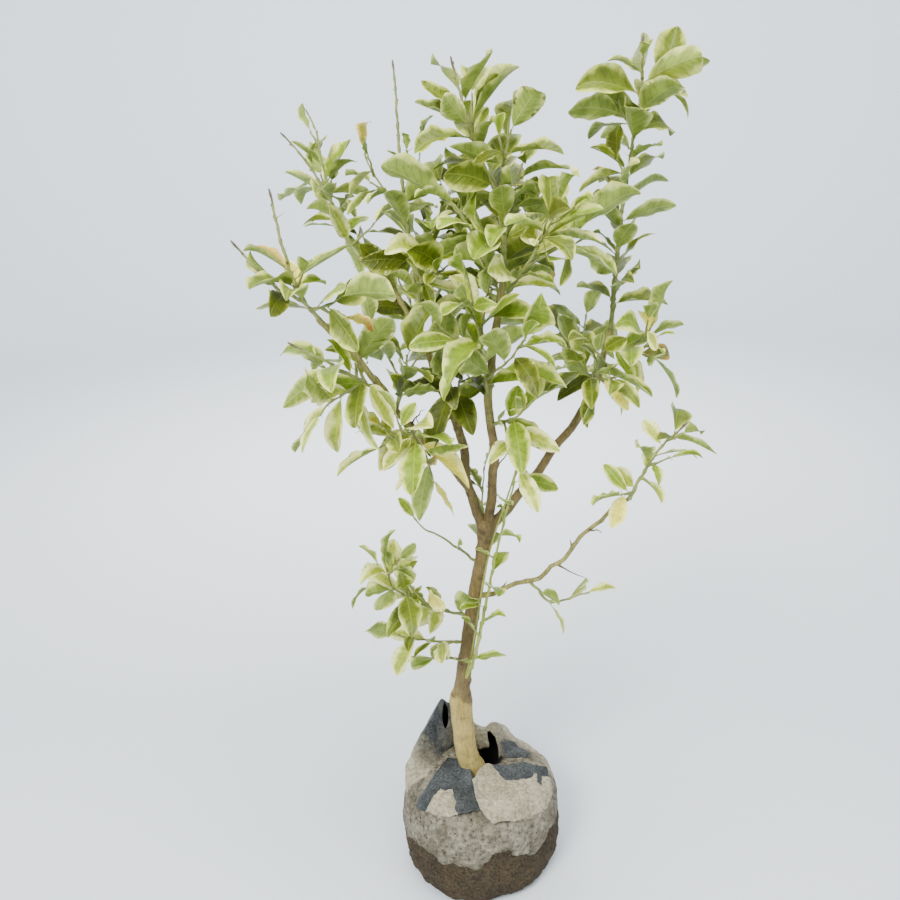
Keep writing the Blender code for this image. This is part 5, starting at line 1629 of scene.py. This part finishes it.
# %% Mud: pale crust over damp brown soil
CRUST_MUD = ("a39b86", "8b8470", "5c5546")
CRUST_STAIN = "665e4d"
FLAP_MUD = ("b8ae93", "a0967c", "786e56")
DAMP_MUD = ("564936", "493e2f", "6b5e48")
# Black used as painted shade in the ball's hollow and under the sack's inner fold
SHADE_BLACK = "0c0b0a"
MUD_DRIFT = 26.0
COAT_GRIT = {"crust": (120.0, 5.6), "flap": (160.0, 3.4), "damp": (200.0, 5.0),
             "film": (260.0, 6.0)}
STAIN_SHARE = 0.80
STREAK_DEPTH = 0.50

def coat_colour(tree, place, tints, speck_size, coat):
    """The colour of one coat, drifting between its three tints, and gritty."""
    colour = three_tints(tree, place, tints, MUD_DRIFT, speck_size, 0.6)
    return grouped(tree, "mottled", place, colour, *COAT_GRIT[coat])

def pitted(tree, place, size, share):
    """Mask of small round pits, sparse and uneven."""
    cells = add_node(tree, "TexVoronoi", {"Vector": place, "Scale": size}).outputs["Distance"]
    sparse = maths(tree, "SUBTRACT", noise_at(tree, place, 0.35 * size, 1.0), 1 - share)
    reach = maths(tree, "MULTIPLY", sparse, 1.2)
    return spread(tree, maths(tree, "SUBTRACT", cells, reach), 0.06, -0.02)

def mud_material():
    """Crust and damp soil with a ragged border, painted black as shade in the hollow and the
    pocket.
    """
    material, tree, shader, place = new_material("mud_crust", 0.95, 0.2)
    dry, grit = coat_colour(tree, place, CRUST_MUD, 240.0, "crust")
    stain = noise_at(tree, place, 13.0, 6.0, 0.68, 0.8)
    stain = spread(tree, stain, 0.48, 0.64, STAIN_SHARE, "LINEAR")
    streak = noise_at(tree, squeezed(tree, place, 4.5), 20.0, 6.0, 0.7)
    streak = spread(tree, streak, 0.54, 0.70, STREAK_DEPTH, "LINEAR")
    for share in (stain, streak):
        dry = blend_colours(tree, share, dry, linear(CRUST_STAIN))
    damp = coat_colour(tree, place, DAMP_MUD, 150.0, "damp")[0]
    pits = pitted(tree, place, 110.0, 0.56)
    dry = blend_colours(tree, maths(tree, "MULTIPLY", pits, 0.75), dry, linear(DAMP_MUD[1]))
    share = grouped(tree, "ragged_border", place, painted(tree, "dry"), 150.0, 0.5, 0.12)["Mask"]
    colour = blend_colours(tree, share, damp, dry)
    # painted shade: black where the painted number dark says, in the hollow and the pocket
    colour = blend_colours(tree, painted(tree, "dark"), colour, linear(SHADE_BLACK))
    tree.links.new(colour, shader.inputs["Base Color"])
    height = grouped(tree, "grain", place, 70.0, 480.0, 0.55)["Height"]
    height = maths(tree, "MULTIPLY_ADD", grit, 1.2, height)
    height = maths(tree, "SUBTRACT", height, maths(tree, "MULTIPLY", pits, 0.5))
    bump(tree, shader, height, 1.0, 0.0066)
    return material

finish_piece(ball, ["root_ball"], [mud_material()])

# %% [markdown]
# ## Sack
# The sack is black film, blue-grey with dust, and mud clings to most of it. Its front was cut
# into two flaps that lie folded over the shoulder; its back still stands, and a fold of it leans
# towards the trunk with an arch-shaped opening. Cloth simulation would let it fall too smoothly
# for film stiff with mud, so each sheet is laid by given outlines and creased by noise.

# %% Numbers of the sack
SACK_RIM = [
    (6, 0.138, 0.186), (30, 0.078, 0.202), (48, 0.062, 0.222), (64, 0.066, 0.256),
    (82, 0.064, 0.232), (104, 0.084, 0.243), (124, 0.106, 0.284), (133, 0.108, 0.299),
    (146, 0.114, 0.262), (166, 0.128, 0.214), (186, 0.139, 0.184),
]
SACK_FOLD_FOOT = [
    (6, 0.130), (30, 0.060), (48, 0.050), (64, 0.048), (82, 0.050), (104, 0.066), (124, 0.086),
    (133, 0.086), (146, 0.086), (166, 0.088), (186, 0.104),
]
LAID_FROM = (136.0, 150.0)
SACK_FOOT_HEIGHT = 0.150
SACK_BULGE = 0.010
SACK_BULGE_RISE = 0.4
BEYOND_BALL = 0.5
WALL_COLUMNS = 230
WALL_ROWS = 26
FOLD_ROWS = 16
FILM_THICKNESS = 0.0014
FILM_LIFT = 0.0010
WALL_END_FADE = 16.0
BURIED_DEPTH = 0.0022
ARCH = [
    (0.0175, 0.2340), (0.0240, 0.2365), (0.0335, 0.2270), (0.0385, 0.2060), (0.0395, 0.1800),
    (0.0395, 0.1500), (0.0000, 0.1500), (0.0000, 0.1945), (0.0120, 0.1985), (0.0190, 0.2030),
    (0.0210, 0.2110), (0.0180, 0.2230),
]
# Reach from the trunk of the painted shade under the wall's inner fold
FOLD_SHADE_REACH = 0.118
PEAK_SLIT = (-0.0660, 0.0062, 0.2660, 0.0260)

# %% The standing back wall with its inner fold
def ball_top(x, y):
    """Height of the ball's upper side over a point."""
    hit = ball_tree.ray_cast(Vector((x, y, BEYOND_BALL)), -UP)
    return hit[0].z if hit[0] else 0.0

def film_crease(point, size):
    """Creases of stiff film: a few long folds and many short ones."""
    long_folds = 1 - abs(noise.noise(Vector((point.x * 26, point.y * 26, point.z * 9))))
    return size * (0.8 * (long_folds - 0.7) + 0.3 * patchy(point, 55, 3))

def settled(point, standing):
    """A point laid down to the ball's surface where the sheet no longer stands."""
    ground = ball_top(point.x, point.y) - 0.0010
    return Vector((point.x, point.y, ground + (point.z - ground) * standing))

def make_wall():
    """Sheet from the shoulder up to the rim and down again inside, as rows of points."""
    first, last = SACK_RIM[0][0], SACK_RIM[-1][0]
    verts = []
    for column in range(WALL_COLUMNS + 1):
        azimuth = first + (last - first) * column / WALL_COLUMNS
        across = Vector((math.cos(math.radians(azimuth)), math.sin(math.radians(azimuth)), 0.0))
        rim_radius, rim_height = looked_up(SACK_RIM, azimuth, eased)
        rim_height += 0.0022 * patchy(across, 9, 3)
        fold_radius = looked_up(SACK_FOLD_FOOT, azimuth, eased)[0]
        hit = ball_tree.ray_cast(UP * SACK_FOOT_HEIGHT + across * BEYOND_BALL, -across)[0]
        foot = hit + across * FILM_LIFT
        rim = across * rim_radius + UP * rim_height
        fold = across * fold_radius
        fold.z = ball_top(fold.x, fold.y) - 0.002
        standing = smoothstep(0.0, WALL_END_FADE, min(azimuth - first, last - azimuth))
        laid = smoothstep(*LAID_FROM, azimuth)
        for row in range(WALL_ROWS):
            t = row / (WALL_ROWS - 1)
            bulge = SACK_BULGE * standing * math.sin(math.pi * t)
            point = foot.lerp(rim, t) + across * bulge + UP * (SACK_BULGE_RISE * bulge)
            size = 0.005 * math.sin(math.pi * min(1.0, t + 0.1))
            point += (across + UP * 0.6) * film_crease(point, size)
            point.z = max(point.z, ball_top(point.x, point.y) + FILM_LIFT)
            buried = 1 - smoothstep(0.0, 0.15, t) * standing
            point -= across * (BURIED_DEPTH * buried) + UP * (BURIED_DEPTH * buried)
            point = settled(point, standing)
            verts.append(point)
        for row in range(1, FOLD_ROWS):
            t = row / (FOLD_ROWS - 1)
            point = rim.lerp(fold, t) - across * (0.004 * math.sin(math.pi * t))
            point.z -= laid * (rim.z - fold.z) * t * (1 - t)
            point -= across * film_crease(point, 0.006 * math.sin(math.pi * t))
            if row < FOLD_ROWS - 1:
                point.z = max(point.z, ball_top(point.x, point.y) + 0.0002)
            verts.append(settled(point, standing))
    count = WALL_ROWS + FOLD_ROWS - 1
    faces = []
    for column in range(WALL_COLUMNS):
        for row in range(count - 1):
            a = column * count + row
            faces.append((a, a + count, a + count + 1, a + 1))
    return verts, faces

# %% Thicken a sheet, and cut the arch and the slit
def apply_modifier(piece, kind, **settings):
    """Give a piece the mesh that a modifier makes."""
    modifier = piece.modifiers.new(kind, kind)
    for key, value in settings.items():
        setattr(modifier, key, value)
    bpy.context.view_layer.update()
    result = piece.evaluated_get(bpy.context.evaluated_depsgraph_get())
    mesh = bpy.data.meshes.new_from_object(result)
    piece.modifiers.clear()
    piece.data = mesh

def ellipse(middle, half_width, height, half_height):
    """Points of an upright ellipse."""
    return [(middle + half_width * math.cos(math.pi * k / 20),
             height + half_height * math.sin(math.pi * k / 20)) for k in range(40)]

def cut_opening(piece, outline, front, back):
    """Cut an opening through a sheet along Y, from an outline seen from the front."""
    count = len(outline)
    verts = [(x, y, z) for y in (front, back) for x, z in outline]
    faces = list(ring_quads(2, count)) + [tuple(range(count)), tuple(range(count, 2 * count))]
    shell = bmesh.new()
    mesh = bpy.data.meshes.new("opening")
    mesh.from_pydata(verts, [], faces)
    shell.from_mesh(mesh)
    bmesh.ops.recalc_face_normals(shell, faces=shell.faces)
    shell.to_mesh(mesh)
    shell.free()
    cutter = link_object("opening", mesh)
    apply_modifier(piece, "BOOLEAN", operation="DIFFERENCE", object=cutter)
    bpy.data.objects.remove(cutter, do_unlink=True)

# %% Where film shows through the mud: strips and spots as points with a half width
FILM_BANDS = {
    "sack_flap_left": [
        ((-0.049, 0.018), (-0.113, -0.069), 0.0165), ((-0.036, -0.016), (-0.024, -0.108), 0.0235),
        ((-0.058, 0.004), (-0.062, -0.036), 0.0200)],
    "sack_flap_right": [
        ((0.034, -0.003), (0.134, 0.002), 0.0165), ((0.056, -0.017), (0.084, -0.014), 0.0205),
        ((0.1125, -0.010), (0.1145, -0.034), 0.0050)],
    "sack_back_wall": [
        ((0.064, 0.044), (0.086, 0.036), 0.0165), ((0.062, 0.032), (0.090, 0.030), 0.0100),
        ((-0.098, 0.070), (-0.072, 0.100), 0.0230), ((-0.066, 0.084), (-0.056, 0.100), 0.0120)],
}
SMEAR_SPOTS = [
    ((-0.098, 0.046), (-0.048, 0.062), 0.030), ((0.060, 0.036), (0.096, 0.026), 0.026),
]
SMEAR_FADE = 0.040
BAND_FADE = {"sack_flap_left": 0.012, "sack_flap_right": 0.012, "sack_back_wall": 0.034}

def band_share(point, bands, fade):
    """Share of a coat at a point: a half at the edge of a band."""
    best = 0.0
    for start, stop, half in bands:
        a, b = Vector(start), Vector(stop)
        flat = Vector((point.x, point.y))
        t = min(1.0, max(0.0, (flat - a).dot(b - a) / (b - a).length_squared))
        away = (flat - a.lerp(b, t)).length
        best = max(best, min(1.0, max(0.0, 0.5 + (half - away) / fade)))
    return best

def paint_film(piece, sheet):
    """Paint the share of bare film, of grey smears, and of black painted shade under the wall's
    inner fold.
    """
    film, smear, fold_shade = [], [], []
    for vert in piece.data.vertices:
        place = vert.co
        film.append(band_share(place, FILM_BANDS[sheet], BAND_FADE[sheet])
                    + 0.26 * patchy(place, 75, 4))
        smear.append(band_share(place, SMEAR_SPOTS, SMEAR_FADE))
        # painted shade: downward-facing points of the wall's inner fold are marked for black
        fold_shade.append(float(sheet == "sack_back_wall" and vert.normal.z < -0.1
                            and math.hypot(place.x, place.y) < FOLD_SHADE_REACH))
    paint_numbers(piece.data, {"film": film, "smear": smear, "fold_shade": fold_shade})

def finish_sheet(piece, sheet):
    """Paint a thick sheet and finish it as film."""
    paint_film(piece, sheet)
    piece.data.shade_smooth()
    finish_piece(piece, [sheet], [muddy_film])
    print(sheet, len(piece.data.polygons), "faces")

# %% Film and mud in one material
FILM_TINTS = ("2e3131", "424646", "727676")

def film_material():
    """Dusty black film, and dry mud with a broken edge where it clings."""
    material, tree, shader, place = new_material("muddy_film", 0.6, 0.3)
    film = coat_colour(tree, place, FILM_TINTS, 420.0, "film")[0]
    mud, grit = coat_colour(tree, place, FLAP_MUD, 240.0, "flap")
    pits = pitted(tree, place, 150.0, 0.40)
    mud = blend_colours(tree, maths(tree, "MULTIPLY", pits, 0.6), mud, linear(DAMP_MUD[1]))
    smear = maths(tree, "MULTIPLY", painted(tree, "smear"), noise_at(tree, place, 38.0, 5.0, 0.7))
    mud = blend_colours(tree, maths(tree, "MULTIPLY", smear, 1.7, clamp=True), mud, film)
    soft = maths(tree, "MULTIPLY_ADD", painted(tree, "smear"), 0.22, 0.04)
    share = grouped(tree, "ragged_border", place, painted(tree, "film"), 130.0, 0.55, soft)["Mask"]
    colour = blend_colours(tree, share, mud, film)
    # painted shade: black under the wall's inner fold
    colour = blend_colours(tree, painted(tree, "fold_shade"), colour, linear(SHADE_BLACK))
    tree.links.new(colour, shader.inputs["Base Color"])
    rough = add_node(tree, "MapRange", {"Value": share, "To Min": 0.95, "To Max": 0.56})
    tree.links.new(rough.outputs[0], shader.inputs["Roughness"])
    height = grouped(tree, "grain", place, 70.0, 600.0, 0.4)["Height"]
    height = maths(tree, "MULTIPLY_ADD", grit, 0.8, height)
    height = maths(tree, "MULTIPLY", height, maths(tree, "SUBTRACT", 1.15, share))
    bump(tree, shader, height, 0.9, 0.0044)
    return material

muddy_film = film_material()
wall = add_piece("sack_wall_film", *make_wall())
apply_modifier(wall, "SOLIDIFY", thickness=FILM_THICKNESS, offset=1.0)
cut_opening(wall, ARCH, 0.020, 0.0625)
cut_opening(wall, ellipse(*PEAK_SLIT), 0.040, 0.0815)
finish_sheet(wall, "sack_back_wall")

# %% Flaps draped over the shoulder
FLAPS = {
    "sack_flap_left": [
        (-0.125, -0.060), (-0.0905, -0.021), (-0.0625, 0.024), (-0.030, -0.004), (-0.018, -0.026),
        (-0.008, -0.060), (-0.002, -0.104), (-0.030, -0.109), (-0.062, -0.107), (-0.088, -0.096),
        (-0.112, -0.078),
    ],
    "sack_flap_right": [
        (-0.0165, -0.046), (0.006, -0.021), (0.040, -0.004), (0.074, 0.004), (0.132, 0.006),
        (0.138, -0.036), (0.124, -0.070), (0.088, -0.099), (0.047, -0.117), (0.0165, -0.1260),
        (0.004, -0.1165), (-0.005, -0.103), (-0.012, -0.076),
    ],
}
FLAP_CREST = {"sack_flap_left": 0.010, "sack_flap_right": 0.018}
FLAP_CREST_START = 0.032
FLAP_CREST_REACH = 0.034
FLAP_MESH = 0.0030
FLAP_WELD = 0.0006
FLAP_SEGMENT = 0.005
FLAP_RAGGED = (0.0012, 120, 3)
FLAP_LIFT = {"sack_flap_left": 0.0022, "sack_flap_right": 0.0042}
FLAP_SEALED_FROM = (0.030, 0.075)
FLAP_SEALED_FRONT = (0.02, 0.04)
FLAP_CREASE = 0.0028
FLAP_EDGE_CURL = 0.0075

def flap_outline(corners):
    """The outline with its sides broken up a little, its corners kept."""
    points = []
    for start, stop in zip(corners, corners[1:] + corners[:1]):
        a, b = Vector((*start, 0.0)), Vector((*stop, 0.0))
        count = max(2, round((b - a).length / FLAP_SEGMENT))
        out = (b - a).cross(UP).normalized()
        for k in range(count):
            spot = a.lerp(b, k / count)
            points.append(spot + out * rough(spot, *FLAP_RAGGED))
    return points

def make_flap(name):
    """A flap cut from a level sheet in a fine grid, then draped and creased."""
    outline = flap_outline(FLAPS[name])
    sheet = bmesh.new()
    sheet.faces.new([sheet.verts.new(point) for point in outline])
    for axis, normal in enumerate((Vector((1.0, 0.0, 0.0)), Vector((0.0, 1.0, 0.0)))):
        low = min(point[axis] for point in outline)
        high = max(point[axis] for point in outline)
        for strip in range(1, round((high - low) / FLAP_MESH)):
            everything = list(sheet.verts) + list(sheet.edges) + list(sheet.faces)
            bmesh.ops.bisect_plane(sheet, geom=everything, plane_no=normal,
                                   plane_co=normal * (low + strip * FLAP_MESH))
    bmesh.ops.remove_doubles(sheet, verts=sheet.verts, dist=FLAP_WELD)
    edge = [vert.co.copy() for vert in sheet.verts if vert.is_boundary]
    for vert in sheet.verts:
        flat = vert.co.copy()
        inside = min((flat - rim).length for rim in edge)
        away = math.hypot(flat.x - TRUNK_WAY[1][0], flat.y) - FLAP_CREST_START
        crest = FLAP_CREST[name] * max(0.0, 1 - max(0.0, away) / FLAP_CREST_REACH) ** 2
        at_edge = 1 - smoothstep(0.0, 0.012, inside)
        lift = (FLAP_LIFT[name] + 0.5 * FLAP_CREASE + film_crease(flat, FLAP_CREASE)
                + max(0.0, FLAP_EDGE_CURL * at_edge * (0.5 + 0.5 * patchy(flat, 40, 2))))
        sealed = at_edge * smoothstep(*FLAP_SEALED_FROM, abs(flat.x))
        sealed *= smoothstep(*FLAP_SEALED_FRONT, -flat.y)
        vert.co.z = ball_top(flat.x, flat.y) + crest + lift * (1 - sealed) - 0.0012 * sealed
    bmesh.ops.recalc_face_normals(sheet, faces=sheet.faces)
    if sum(face.normal.z for face in sheet.faces) < 0:
        bmesh.ops.reverse_faces(sheet, faces=sheet.faces)
    mesh = bpy.data.meshes.new(name)
    sheet.to_mesh(mesh)
    sheet.free()
    flap = link_object(name + "_film", mesh)
    apply_modifier(flap, "SOLIDIFY", thickness=FILM_THICKNESS, offset=1.0)
    finish_sheet(flap, name)

for name in FLAPS:
    make_flap(name)
